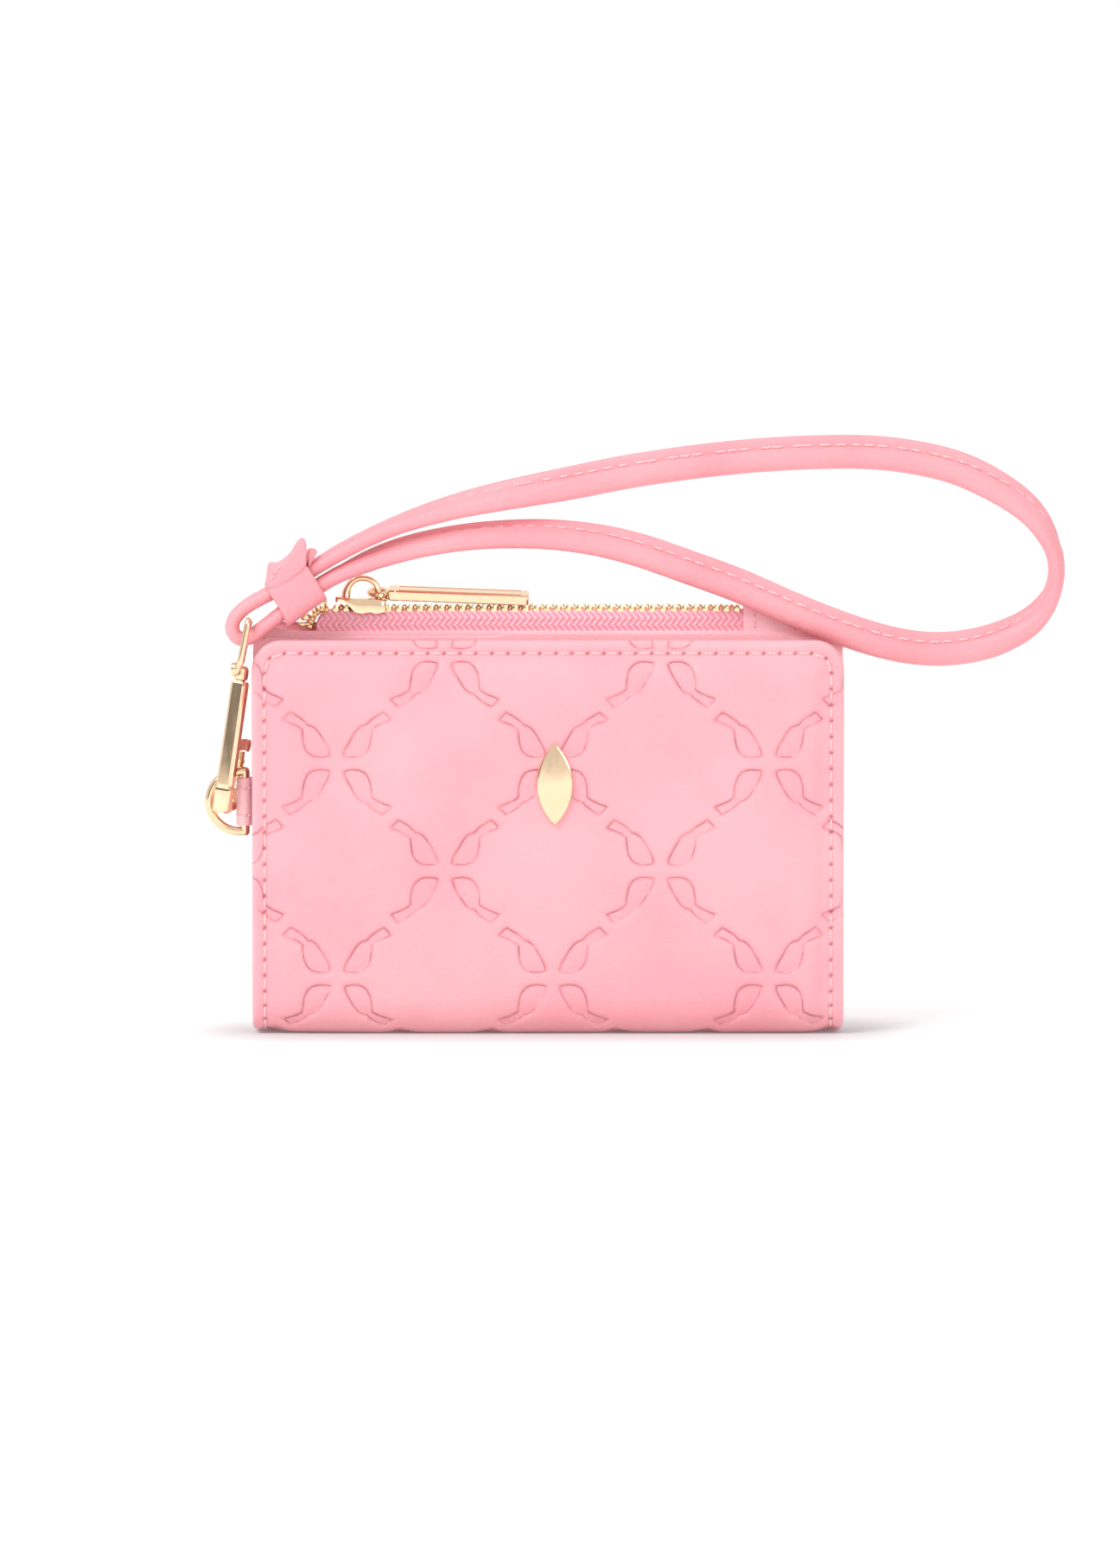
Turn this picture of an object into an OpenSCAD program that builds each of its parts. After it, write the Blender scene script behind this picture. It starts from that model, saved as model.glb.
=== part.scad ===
// Pink leather wristlet wallet: a bifold with its fold at the bottom, a zipped coin
// pocket in the back half, card slots in the flap, and a wrist strap that a swivel
// snap hook holds to a D-ring at the left seam.
// +X is right, +Y is the back, +Z is up. The origin is the middle of the flat
// underside of the fold. All sizes are in millimetres.

/* [Body] */
// Width of the wallet over the leather
body_w = 120; // [119:0.5:121]
// Height of the front flap
flap_h = 80; // [79.5:0.1:80.2]
// Height of the back half
back_h = 83; // [82.5:0.1:83.5]
// Depth of the closed wallet over both halves
body_depth = 18.4; // [18.2:0.1:18.6]
// Thickness of the outer leather
leather_t = 1.4; // [1.2:0.1:1.5]
// Radius of the flap's top corners
corner_r = 6; // [5:0.5:7]
// Radius of the back half's top corners
back_corner_r = 3; // [2.5:0.5:4]

/* [Fold] */
// Height of the curved fold at the bottom
fold_h = 8; // [7.5:0.1:8.1]
// Depth of each of the fold's rounded corners
fold_run = 5; // [4:0.5:6]

/* [Zip] */
// Pitch of the zip teeth
tooth_pitch = 2.15; // [2.1:0.05:2.3]
// Length of the slider body
slider_l = 10; // [8:0.5:10]
// Length of the puller
puller_l = 31; // [24:1:32]

/* [Hardware] */
// Wire diameter of the D-ring
ring_wire = 1.9; // [1.6:0.1:1.9]
// Wire diameter of the swivel eye
eye_wire = 1.3; // [1.1:0.1:1.3]
// Length of the snap hook's spine
hook_l = 27; // [26:0.5:27.5]

/* [Strap] */
// Width of the strap, piping and seam flange together
strap_w = 6.6; // [6:0.1:6.6]
// Thickness of the piping side of the strap
strap_t = 3.4; // [2.8:0.1:3.4]

/* [Hidden] */
$fn = 32;

pink = [1.0, 0.70, 0.74];
deep_pink = [0.93, 0.45, 0.55];
lining_pink = [0.96, 0.62, 0.68];
gold = [0.90, 0.76, 0.52];
board_grey = [0.75, 0.73, 0.70];
thread_pink = [0.99, 0.83, 0.85];

half_w = body_w / 2;
half_d = body_depth / 2;
panel_z = 8.6;              // where the flat panels begin, just over the fold
board_t = 0.6;
lining_t = 0.5;
front_panel_t = 1.0;
coin_gap = 3.3;             // free space inside the coin pocket
seam_w = 2;                 // width of the seams that close the pockets

// depth stations of the back half, from the outer face inwards
back_board_y = half_d - leather_t;
rear_lining_y = back_board_y - board_t;
coin_y1 = rear_lining_y - lining_t;
coin_y0 = coin_y1 - coin_gap;
front_panel_y = coin_y0 - lining_t;
slip_y = front_panel_y - front_panel_t;
back_inner_y = slip_y - lining_t;
front_panel_h = back_h - 1.5;

// depth stations of the flap, from the outer face inwards
flap_leather_y = -half_d + leather_t;
card_t = 0.5;
flap_inner_y = back_inner_y - 4.0;
card_y = [for (i = [0:2]) flap_inner_y - (3 - i) * card_t];
flap_lining_y = flap_inner_y - 3 * card_t - lining_t;
flap_board_y = flap_lining_y - board_t;
flap_rim = 3;

// stud on the flap, a pointed oval
emblem_x = 1.4;
emblem_z = 51;
emblem_w = 7.2;
emblem_l = 16.8;
emblem_t = 0.8;

// zip, centred between the pocket linings
zip_y = (coin_y0 + coin_y1) / 2;
zip_x0 = -47;
zip_x1 = 44;
tape_t = 0.5;
tape_out = coin_gap / 2 + lining_t;
tape_top = 85.7;
tape_bottom = 76;
tooth_t = 1.0;
tooth_z = [84.6, 86.8];
tooth_reach = 1.3;
tooth_lap = 0.5;
end_tab_x = [39.7, 50];
slider_x0 = -43;
slider_top = 88.0;
bail_x = -37.7;
bail_z = 89.3;
bail_r = 3.2;
bail_wire = 1.5;
puller_w = 4.2;
puller_t = 1.9;
puller_tilt = 2;

// D-ring: an upright bar in the leather tab, then a half circle to the left
ring_x = -61.6;
ring_y = -0.5;
ring_z = 46.9;
ring_half = 6.1;
ring_run = 1.1;
tab_leather = 0.8;
tab_h = 9.8;
tab_tail = 6;
bore_gap = 0.05;

// snap hook, in a frame of its own: z up the spine, x from the spine to the gate
hook_at = [-66.3, -3.6, 44.8];
hook_lean = 8.3;
hook_turn = 70;
hook_span = 6.6;
hook_wire = 2;
spine_x = 2.6;
spine_y = 3.0;
pin_z = 13.9;
gate_r = 0.75;
gate_pin_r = 0.4;

// swivel eye, a closed wire frame that the strap passes through
eye_low = [-62.4, -3.6, 74.8];
eye_high = [-60.6, -3.6, 84.0];
eye_half = 4.95;

// strap route, clockwise from the keeper: [x, y, z, turn, share of the full thickness].
// A turn of 0 has the seam flange on the outer side of the loop, and 90 at the back.
strap_route = [
    [-52.3, -1.6, 91.4, 90, 0.94], [-44.5, -1.5, 96.5, 80, 0.94], [-36.5, -1.3, 100.8, 75, 1],
    [-28.5, -1.1, 104.2, 68, 1], [-14, -0.8, 108.2, 45, 1], [4.5, -0.6, 111.5, 15, 1],
    [16, -0.6, 114, 0, 1], [38, -0.6, 117, 0, 1], [57, -0.6, 118, 0, 1],
    [69, -0.6, 117.7, 0, 1], [81, -0.6, 115.5, 5, 1], [88.5, -0.6, 112.3, 15, 1],
    [95.5, -0.6, 107.6, 35, 1], [100, -0.6, 102.5, 60, 1], [103, -0.6, 95, 90, 1],
    [99.5, -0.6, 85.5, 125, 1], [93, -0.6, 81, 155, 1], [87, -0.6, 78.7, 170, 1],
    [79.5, -0.6, 77.8, 180, 1], [72, -0.6, 78.5, 180, 1], [64.5, -0.6, 80.4, 180, 1],
    [55, -0.6, 83.8, 180, 1], [46, -0.6, 87.6, 180, 1], [38, -0.6, 91.2, 180, 1],
    [28, -0.6, 94.7, 175, 1], [17, -0.6, 98.6, 165, 1], [5, -0.7, 100.9, 150, 1],
    [-6, -0.8, 101.4, 140, 1], [-17.5, -0.9, 100.7, 132, 1], [-28, -1.1, 98.7, 128, 1],
    [-36, -1.3, 96.2, 118, 1], [-44, -1.5, 92.6, 100, 0.94], [-50, -1.6, 88.3, 90, 0.94],
    [-56, -2.6, 83.6, 90, 0.76], [-58.7, -3.3, 81.6, 90, 0.65], [-60.5, -3.4, 80.1, 90, 0.65],
    [-62.6, -3.4, 80, 90, 0.65], [-63.8, -3.4, 81.6, 90, 0.65], [-63.4, -3.4, 83.6, 90, 0.65],
    [-61.8, -3.2, 85.6, 90, 0.65], [-59.2, -2.6, 87.4, 90, 0.76]
];
ring_steps = 2;             // sections drawn for each stretch of the route
flange_share = 0.33;        // share of the strap's width that is seam flange
flange_half = 0.8;
strap_skin = 0.8;

// keeper, a leather band round both runs of the strap
keeper_at = [-51.15, -1.85, 89.85];
keeper_lean = 36;
keeper_l = 9;
keeper_half_z = 4.1;
keeper_half_y = 3.75;
keeper_skin = 0.9;

// ---------------------------------------------------------------- helpers

// a flat panel that faces the front, from y0 to y0 + t
module panel(x0, x1, z0, z1, y0, t, r = 0) {
    translate([0, y0 + t, 0]) rotate([90, 0, 0]) linear_extrude(t) panel_shape(x0, x1, z0, z1, r);
}

// the panel's outline, square below and rounded above
module panel_shape(x0, x1, z0, z1, r = 0) {
    if (r == 0) translate([x0, z0]) square([x1 - x0, z1 - z0]);
    else {
        translate([x0, z0]) square([x1 - x0, z1 - z0 - r]);
        translate([x0 + r, z0]) square([x1 - x0 - 2 * r, z1 - z0]);
        for (x = [x0 + r, x1 - r]) translate([x, z1 - r]) circle(r, $fn = 48);
    }
}

// an upright rim, open at the bottom, that closes a padded panel's edge
module rim(x0, x1, z0, z1, y0, t, r, w) {
    difference() {
        panel(x0, x1, z0, z1, y0, t, r);
        panel(x0 + w, x1 - w, z0 - 1, z1 - w, y0 - 1, t + 2, max(r - w, 0.5));
    }
}

// straight round wire between two points
module wire(a, b, d) {
    v = b - a;
    l = norm(v);
    translate(a) rotate([0, acos(v.z / l), atan2(v.y, v.x)]) cylinder(d = d, h = l);
}

module ball(at, d) {
    translate(at) sphere(d = d);
}

// cross-section of the fold between the outer surface and an inner one
module fold_shape(t_out, t_in) {
    polygon(concat(
        [[half_d - t_out, panel_z]],
        [for (a = [0:10:90]) fold_point(a, t_out, 1)],
        [for (a = [90:-10:0]) fold_point(a, t_out, -1)],
        [for (a = [0:10:90]) fold_point(a, t_in, -1)],
        [for (a = [90:-10:0]) fold_point(a, t_in, 1)],
        [[half_d - t_in, panel_z]]
    ));
}
function fold_point(a, t, side) = [
    side * (half_d - fold_run + (fold_run - t) * cos(a)),
    fold_h + (side > 0 ? 0.2 : 0.1) - (fold_h + (side > 0 ? 0.2 : 0.1) - t) * sin(a)
];

module fold_strip(x, t_out, t_in) {
    translate([-x, 0, 0]) rotate([90, 0, 90]) linear_extrude(2 * x) fold_shape(t_out, t_in);
}

// a row of stitches from one point to another on a face at depth y
module stitch_row(a, b, y, pitch) {
    v = b - a;
    count = floor(norm(v) / pitch);
    for (i = [0:count - 1]) {
        p = a + v * (i + 0.5) / count;
        translate([p.x, y, p.y]) rotate([0, -atan2(v.y, v.x), 0])
            cube([pitch * 0.7, 0.3, 0.5], center = true);
    }
}

// ---------------------------------------------------------------- back half

module back_outer_panel() {
    color(pink) panel(-half_w, half_w, panel_z, back_h, back_board_y, leather_t, back_corner_r);
}

module back_board() {
    color(board_grey)
        panel(-half_w + 1, half_w - 1, panel_z, back_h - 2, rear_lining_y, board_t, back_corner_r);
}

// rear wall of the coin pocket, with the seam that closes its sides and bottom
module coin_pocket_lining_rear() {
    color(lining_pink) {
        panel(-half_w + 0.5, half_w - 0.5, panel_z, tape_bottom, coin_y1, lining_t);
        for (x = [-half_w + 0.5, half_w - 0.5 - seam_w])
            panel(x, x + seam_w, panel_z, tape_bottom, coin_y0, coin_gap);
        panel(-half_w + 0.5, half_w - 0.5, panel_z, panel_z + seam_w, coin_y0, coin_gap);
    }
}

module coin_pocket_lining_front() {
    color(lining_pink)
        panel(-half_w + 0.5, half_w - 0.5, panel_z, tape_bottom, front_panel_y, lining_t);
}

// embossed front of the coin pocket, higher at both ends, notched for the D-ring tab
module pocket_front_panel() {
    color(pink) difference() {
        union() {
            panel(-half_w, half_w, panel_z, front_panel_h - back_corner_r, slip_y, front_panel_t);
            panel(-half_w, half_w, panel_z + 10, front_panel_h, slip_y, front_panel_t,
                  back_corner_r);
            panel(-half_w, -half_w + 7, panel_z + 10, front_panel_h + 0.7, slip_y,
                  front_panel_t, back_corner_r);
        }
        translate([-half_w - 1, slip_y - 1, ring_z - tab_h / 2])
            cube([tab_tail + 1, front_panel_t + 2, tab_h]);
    }
}

module slip_pocket() {
    color(lining_pink) panel(-half_w, half_w, panel_z, 81, back_inner_y, lining_t, back_corner_r);
}

module fold_spine() {
    color(pink) fold_strip(half_w, 0, leather_t);
}

module fold_lining() {
    color(lining_pink) fold_strip(half_w - 0.5, leather_t, leather_t + lining_t);
}

module zip_tape(side) {
    y = zip_y + side * (tape_out - tape_t / 2);
    translate([zip_x0, y - tape_t / 2, tape_bottom])
        cube([zip_x1 - zip_x0, tape_t, tape_top - tape_bottom]);
    y0 = side < 0 ? zip_y - tape_out : zip_y + tooth_reach;
    translate([zip_x0, y0, tape_top - tape_t])
        cube([zip_x1 - zip_x0, tape_out - tooth_reach, tape_t]);
}

module zip_tape_front() {
    color(deep_pink) zip_tape(-1);
}

module zip_tape_rear() {
    color(deep_pink) zip_tape(1);
}

// one row of teeth, which reaches past the middle between the other row's teeth
module zip_teeth(side) {
    count = floor((end_tab_x[0] - zip_x0 - 1) / tooth_pitch);
    shift = side < 0 ? 0 : tooth_pitch / 2;
    y0 = side < 0 ? zip_y - tooth_reach : zip_y - tooth_lap;
    for (i = [0:count - 1])
        translate([zip_x0 + 0.5 + shift + i * tooth_pitch, y0, tooth_z[0]])
            cube([tooth_t, tooth_reach + tooth_lap, tooth_z[1] - tooth_z[0]]);
}

module zip_teeth_front() {
    color(gold) zip_teeth(-1);
}

module zip_teeth_rear() {
    color(gold) zip_teeth(1);
}

// box stop under the end tab
module zip_end_stop() {
    color(gold) translate([end_tab_x[0] + 1.2, zip_y - tooth_reach, tape_top - tape_t - 0.6])
        cube([2, 2 * tooth_reach, 1.6]);
}

// leather tab folded over the closed end of the zip
module zip_end_tab() {
    outer = tape_out + 0.6;
    color(pink) translate([end_tab_x[0], 0, 0]) difference() {
        translate([0, zip_y - outer, front_panel_h])
            cube([end_tab_x[1] - end_tab_x[0], 2 * outer, 86.9 - front_panel_h]);
        translate([-1, zip_y - tape_out - 0.05, front_panel_h - 1])
            cube([end_tab_x[1] - end_tab_x[0] + 2, 2 * tape_out + 0.1, 5.3]);
        translate([-1, zip_y - tooth_reach - 0.1, front_panel_h])
            cube([4.4, 2 * tooth_reach + 0.2, 86.4 - front_panel_h]);
    }
}

// leather loop that holds the D-ring's bar, with its tail sewn into the left seam
module d_ring_tab() {
    outer_r = ring_wire / 2 + bore_gap + tab_leather;
    color(pink) translate([0, 0, ring_z - tab_h / 2]) difference() {
        union() {
            translate([ring_x, ring_y, 0]) cylinder(r = outer_r, h = tab_h);
            linear_extrude(tab_h) polygon([
                [ring_x - 1.2, ring_y + 1], [ring_x + 1.4, ring_y + 0.9],
                [-half_w - 0.05, slip_y], [-half_w + tab_tail, slip_y],
                [-half_w + tab_tail, front_panel_y], [-half_w - 1.2, front_panel_y]
            ]);
        }
        translate([ring_x, ring_y, -1]) cylinder(d = ring_wire + 2 * bore_gap, h = tab_h + 2);
    }
}

module back_stitching() {
    y = half_d + 0.15;
    x = half_w - 2.5;
    color(thread_pink) {
        for (side = [-1, 1])
            stitch_row([side * x, panel_z + 4], [side * x, back_h - 4], y, 3.2);
        stitch_row([-x + 2, back_h - 2.5], [x - 2, back_h - 2.5], y, 3.2);
    }
}

// ---------------------------------------------------------------- flap

// outer leather of the flap, turned over at its edges
module flap_outer_panel() {
    color(pink) difference() {
        union() {
            panel(-half_w, half_w, panel_z, flap_h, -half_d, leather_t, corner_r);
            rim(-half_w, half_w, panel_z, flap_h, -half_d + 0.5,
                flap_board_y - (-half_d + 0.5), corner_r, flap_rim);
        }
        emblem_prongs(0.05);
    }
}

module flap_padding() {
    color("white") difference() {
        panel(-half_w + flap_rim, half_w - flap_rim, panel_z, flap_h - flap_rim,
              flap_leather_y, flap_board_y - flap_leather_y, corner_r - flap_rim);
        translate([emblem_x, flap_leather_y, emblem_z]) rotate([90, 0, 0])
            cube([6, 16, 4], center = true);
    }
}

module flap_board() {
    color(board_grey)
        panel(-half_w + 1, half_w - 1, panel_z, flap_h - 1, flap_board_y, board_t, corner_r);
}

module flap_lining() {
    color(lining_pink)
        panel(-half_w + 0.5, half_w - 0.5, panel_z, flap_h - 0.5, flap_lining_y, lining_t,
              corner_r);
}

// card slots step down towards the inside of the flap
module card_slot(i) {
    color(lining_pink)
        panel(-half_w + 3, half_w - 3, panel_z, flap_h - 6 - 8 * i, card_y[i], card_t);
}

module flap_stitching() {
    y = -half_d - 0.15;
    x = half_w - 2.6;
    z = flap_h - 3.2;
    color(thread_pink) {
        for (side = [-1, 1]) stitch_row([side * x, panel_z + 2], [side * x, z - 3], y, 3.2);
        stitch_row([-x + 2, z], [x - 2, z], y, 3.2);
    }
}

// pointed oval: the overlap of two circles
module leaf_shape(w, l) {
    r = (w * w / 4 + l * l / 4) / w;
    intersection() {
        translate([w / 2 - r, 0]) circle(r, $fn = 96);
        translate([r - w / 2, 0]) circle(r, $fn = 96);
    }
}

module emblem_prongs(gap) {
    for (z = [-4, 4]) translate([emblem_x, -half_d - 0.01, emblem_z + z]) rotate([-90, 0, 0])
        cylinder(r = 0.5 + gap, h = leather_t + 0.8);
}

module emblem() {
    color(gold) {
        translate([emblem_x, -half_d, emblem_z]) rotate([90, 0, 0])
            linear_extrude(emblem_t) leaf_shape(emblem_w, emblem_l);
        emblem_prongs(0);
    }
}

module emblem_washer() {
    color(gold) difference() {
        translate([emblem_x - 2, flap_leather_y, emblem_z - 6]) cube([4, 0.5, 12]);
        emblem_prongs(0.02);
    }
}

// ---------------------------------------------------------------- zip slider

module zip_slider() {
    wing = 3.3;
    plate_z = tooth_z[1] + 0.3;
    color(gold) {
        translate([slider_x0, zip_y - wing, plate_z])
            cube([slider_l, 2 * wing, slider_top - plate_z]);
        for (y = [zip_y - wing, zip_y + wing - 0.8])
            translate([slider_x0, y, 84.9]) cube([slider_l, 0.8, plate_z - 84.9]);
        translate([bail_x, zip_y, bail_z]) rotate([90, 0, 0])
            rotate_extrude(angle = 180, $fn = 48) translate([bail_r, 0]) circle(d = bail_wire);
        for (x = [-bail_r, bail_r])
            wire([bail_x + x, zip_y, slider_top - 0.2], [bail_x + x, zip_y, bail_z], bail_wire);
    }
}

// flat bar with an eye that rides on the bail
module zip_puller() {
    color(gold) translate([bail_x, zip_y, bail_z]) rotate([0, puller_tilt, 0]) difference() {
        union() {
            translate([bail_r, 0, -puller_t / 2]) cylinder(d = puller_w, h = puller_t);
            translate([bail_r, -puller_w / 2, -puller_t / 2])
                cube([puller_l - 1, puller_w, puller_t]);
        }
        translate([bail_r, 0, -puller_t]) cylinder(r = 1.3, h = 2 * puller_t);
        translate([bail_r + 2.6, -puller_w, puller_t / 2 - 0.4]) cube([0.8, 2 * puller_w, 1]);
    }
}

// ---------------------------------------------------------------- D-ring, swivel, hook

module d_ring() {
    top = [ring_x, ring_y, ring_z + ring_half];
    low = [ring_x, ring_y, ring_z - ring_half];
    run = [-ring_run, 0, 0];
    color(gold) {
        wire(low, top, ring_wire);
        for (p = [low, top]) {
            ball(p, ring_wire);
            wire(p + run, p, ring_wire);
        }
        translate([ring_x - ring_run, ring_y, ring_z]) rotate([90, 0, 0]) rotate([0, 0, 90])
            rotate_extrude(angle = 180, $fn = 48) translate([ring_half, 0]) circle(d = ring_wire);
    }
}

module hook_frame() {
    translate(hook_at) rotate([0, hook_lean, 0]) rotate([0, 0, hook_turn]) children();
}

// spine outline with bevelled edges
module spine_shape(x, y, bevel) {
    polygon([
        [-x + bevel, -y], [x - bevel, -y], [x, -y + bevel], [x, y - bevel],
        [x - bevel, y], [-x + bevel, y], [-x, y - bevel], [-x, -y + bevel]
    ]);
}

module hook_body() {
    arm_z = [pin_z - 1.4, pin_z + 1.3];
    arm_y = 1.2;
    color(gold) hook_frame() difference() {
        union() {
            linear_extrude(hook_l) spine_shape(spine_x / 2, spine_y / 2, 0.35);
            wire([0, 0, hook_wire / 2], [hook_span, 0, hook_wire / 2], hook_wire);
            ball([hook_span, 0, hook_wire / 2], hook_wire);
            wire([hook_span, 0, hook_wire / 2], [hook_span, 0, 5], hook_wire);
            translate([0, -arm_y, arm_z[0]])
                cube([hook_span + 0.9, 2 * arm_y, arm_z[1] - arm_z[0]]);
        }
        translate([4.9, -0.7, arm_z[0] - 1]) cube([4, 1.4, 5]);
        translate([hook_span, -2, pin_z]) rotate([-90, 0, 0])
            cylinder(r = gate_pin_r, h = 4);
        translate([1.8, 0, pin_z]) rotate([0, 90, 0]) cylinder(r = 0.55, h = 4);
        translate([0, 0, hook_l - 3.6]) cylinder(r = 0.66, h = 5);
        translate([0, 0, hook_l - 5]) cylinder(r = 0.92, h = 1.6);
    }
}

// sprung gate, which swings in towards the spine on its pin
module hook_gate() {
    color(gold) hook_frame() difference() {
        union() {
            translate([hook_span, 0.55, pin_z]) rotate([90, 0, 0]) cylinder(r = 1.1, h = 1.1);
            translate([hook_span, 0, 5.35]) cylinder(r = gate_r, h = 6.9);
            translate([hook_span - 0.6, -0.45, 12]) cube([1.2, 0.9, 1.2]);
        }
        translate([hook_span, 2, pin_z]) rotate([90, 0, 0])
            cylinder(r = gate_pin_r + bore_gap, h = 4);
    }
}

module gate_pin() {
    color(gold) hook_frame() translate([hook_span, 1.2, pin_z]) rotate([90, 0, 0])
        cylinder(r = gate_pin_r, h = 2.4);
}

// coil spring behind the gate's knuckle, drawn as its outer tube
module gate_spring() {
    color(gold) hook_frame() translate([1.85, 0, pin_z]) rotate([0, 90, 0]) difference() {
        cylinder(r = 0.5, h = 3);
        translate([0, 0, -1]) cylinder(r = 0.28, h = 5);
    }
}

// wire eye on a stud that turns in the spine's top
module swivel_eye() {
    foot = eye_low + [0, 0, -0.2];
    color(gold) {
        hook_frame() {
            translate([0, 0, hook_l - 4.8]) cylinder(r = 0.85, h = 1.2);
            translate([0, 0, hook_l - 4]) cylinder(r = 0.6, h = 5.2);
            translate([0, 0, hook_l + 0.3]) cylinder(r = 1.4, h = 2.6);
        }
        for (side = [-1, 1]) {
            low = eye_low + [0, side * eye_half, 0];
            high = eye_high + [0, side * eye_half, 0];
            wire(foot, low, eye_wire);
            wire(low, high, eye_wire);
            wire(eye_high, high, eye_wire);
            ball(low, eye_wire);
            ball(high, eye_wire);
        }
        translate([-64.3, eye_low.y, 74]) rotate([0, 90, 0]) cylinder(r = 1.45, h = 2);
    }
}

// ---------------------------------------------------------------- strap

// smooth curve through the closed route at stretch i, share u
function at(i) = strap_route[(i + len(strap_route)) % len(strap_route)];
function curve(i, u) =
    let (a = at(i - 1), b = at(i), c = at(i + 1), d = at(i + 2))
    0.5 * (2 * b + (c - a) * u + (2 * a - 5 * b + 4 * c - d) * u * u
        + (3 * b - a - 3 * c + d) * u * u * u);
function slope(i, u) = let (p = curve(i, u + 0.02) - curve(i, u - 0.02)) [p.x, 0, p.z];

// cross-section: [across the width, across the thickness], each as a share
function section(half_t, inset) =
    let (w = strap_w / 2 - inset, t = half_t - inset, f = max(flange_half - inset, 0.1),
         edge = w - strap_w * flange_share)
    [[w, f], [edge, f], [edge - 0.8, t * 0.9], [-w * 0.45, t], [-w * 0.85, t * 0.6], [-w, 0],
     [-w * 0.85, -t * 0.6], [-w * 0.45, -t], [edge - 0.8, -t * 0.9], [edge, -f], [w, -f]];
function core_section(half_t) =
    let (r = half_t - strap_skin, mid = -strap_w * flange_share / 2)
    [for (a = [0:45:315]) [mid + r * 1.35 * cos(a), r * sin(a)]];

function place(p, dir, shape) =
    let (t = dir / norm(dir), out = [-t.z, 0, t.x], back = [0, 1, 0], turn = p[3],
         wide = out * cos(turn) + back * sin(turn), thick = back * cos(turn) - out * sin(turn))
    [for (s = shape) [p[0], p[1], p[2]] + wide * s[0] + thick * s[1]];

function joined(lists) = [for (l = lists) for (x = l) x];

module swept_loop(rings) {
    n = len(rings[0]);
    m = len(rings);
    polyhedron(joined(rings), joined([
        for (i = [0:m - 1]) [for (j = [0:n - 1]) each [
            [i * n + j, i * n + (j + 1) % n, ((i + 1) % m) * n + j],
            [i * n + (j + 1) % n, ((i + 1) % m) * n + (j + 1) % n, ((i + 1) % m) * n + j]
        ]]
    ]), convexity = 8);
}

function stations() =
    [for (i = [0:len(strap_route) - 1]) for (k = [0:ring_steps - 1]) [i, k / ring_steps]];

module strap_solid(inset) {
    swept_loop([for (s = stations()) let (p = curve(s[0], s[1]))
        place(p, slope(s[0], s[1]), section(p[4] * strap_t / 2, inset))]);
}

module core_solid(extra) {
    swept_loop([for (s = stations()) let (p = curve(s[0], s[1]))
        place(p, slope(s[0], s[1]), core_section(p[4] * strap_t / 2 + extra))]);
}

module wrist_strap() {
    color(pink) difference() {
        strap_solid(0);
        core_solid(0.03);
    }
}

module strap_core() {
    color("white") core_solid(0);
}

module strap_keeper() {
    skin = keeper_skin;
    color(pink) translate(keeper_at) rotate([0, -keeper_lean, 0]) difference() {
        translate([-keeper_l / 2, 0, 0]) rotate([90, 0, 90]) linear_extrude(keeper_l)
            spine_shape(keeper_half_y + skin, keeper_half_z + skin, 1.2);
        translate([-keeper_l, 0, 0]) rotate([90, 0, 90]) linear_extrude(2 * keeper_l)
            spine_shape(keeper_half_y, keeper_half_z, 0.4);
    }
}

// ---------------------------------------------------------------- drawing

back_outer_panel();
back_board();
coin_pocket_lining_rear();
coin_pocket_lining_front();
pocket_front_panel();
slip_pocket();
fold_spine();
fold_lining();
zip_tape_front();
zip_tape_rear();
zip_teeth_front();
zip_teeth_rear();
zip_end_stop();
zip_end_tab();
d_ring_tab();
back_stitching();
flap_outer_panel();
flap_padding();
flap_board();
flap_lining();
card_slot(0);  // card_slot_1
card_slot(1);  // card_slot_2
card_slot(2);  // card_slot_3
flap_stitching();
emblem();
emblem_washer();
zip_slider();
zip_puller();
d_ring();
swivel_eye();
hook_body();
hook_gate();
gate_pin();
gate_spring();
wrist_strap();
strap_core();
strap_keeper();
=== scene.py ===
"""Looks of a pink leather wristlet wallet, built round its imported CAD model.

Lengths are in millimetres up to new_piece(), which turns them into metres. +X is right,
+Y is back and +Z is up, with the origin under the middle of the fold."""

import math

import bmesh
import bpy
import numpy as np
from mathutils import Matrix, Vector


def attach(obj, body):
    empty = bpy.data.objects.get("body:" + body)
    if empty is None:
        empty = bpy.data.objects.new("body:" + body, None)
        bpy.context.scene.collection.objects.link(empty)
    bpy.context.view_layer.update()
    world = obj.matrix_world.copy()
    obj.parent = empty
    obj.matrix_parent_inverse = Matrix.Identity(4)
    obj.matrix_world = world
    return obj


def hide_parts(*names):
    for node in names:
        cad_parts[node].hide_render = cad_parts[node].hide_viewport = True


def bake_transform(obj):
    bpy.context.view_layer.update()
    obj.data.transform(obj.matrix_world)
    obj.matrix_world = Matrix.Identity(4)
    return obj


MM = 0.001
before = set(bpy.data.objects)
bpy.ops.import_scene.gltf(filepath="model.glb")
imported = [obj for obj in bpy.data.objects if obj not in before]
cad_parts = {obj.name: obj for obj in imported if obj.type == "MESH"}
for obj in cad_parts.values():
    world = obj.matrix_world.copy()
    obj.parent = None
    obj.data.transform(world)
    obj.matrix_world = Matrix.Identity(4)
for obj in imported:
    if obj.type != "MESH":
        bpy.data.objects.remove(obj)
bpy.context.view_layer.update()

HALF_W = 60.0
HALF_D = 9.2
FLAP_TOP = 80.0
FLAP_CORNER = 6.0
BACK_TOP = 83.0
BACK_CORNER = 3.0
FOLD_RUN = 5.0
FOLD_H = 8.0
LEATHER = 1.4
EDGE_ROUND = 1.05
STITCH_PITCH = 3.2
LINING_HALF = 59.5
LINING = 0.46


# ---------------------------------------------------------------- mesh helpers


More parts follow.
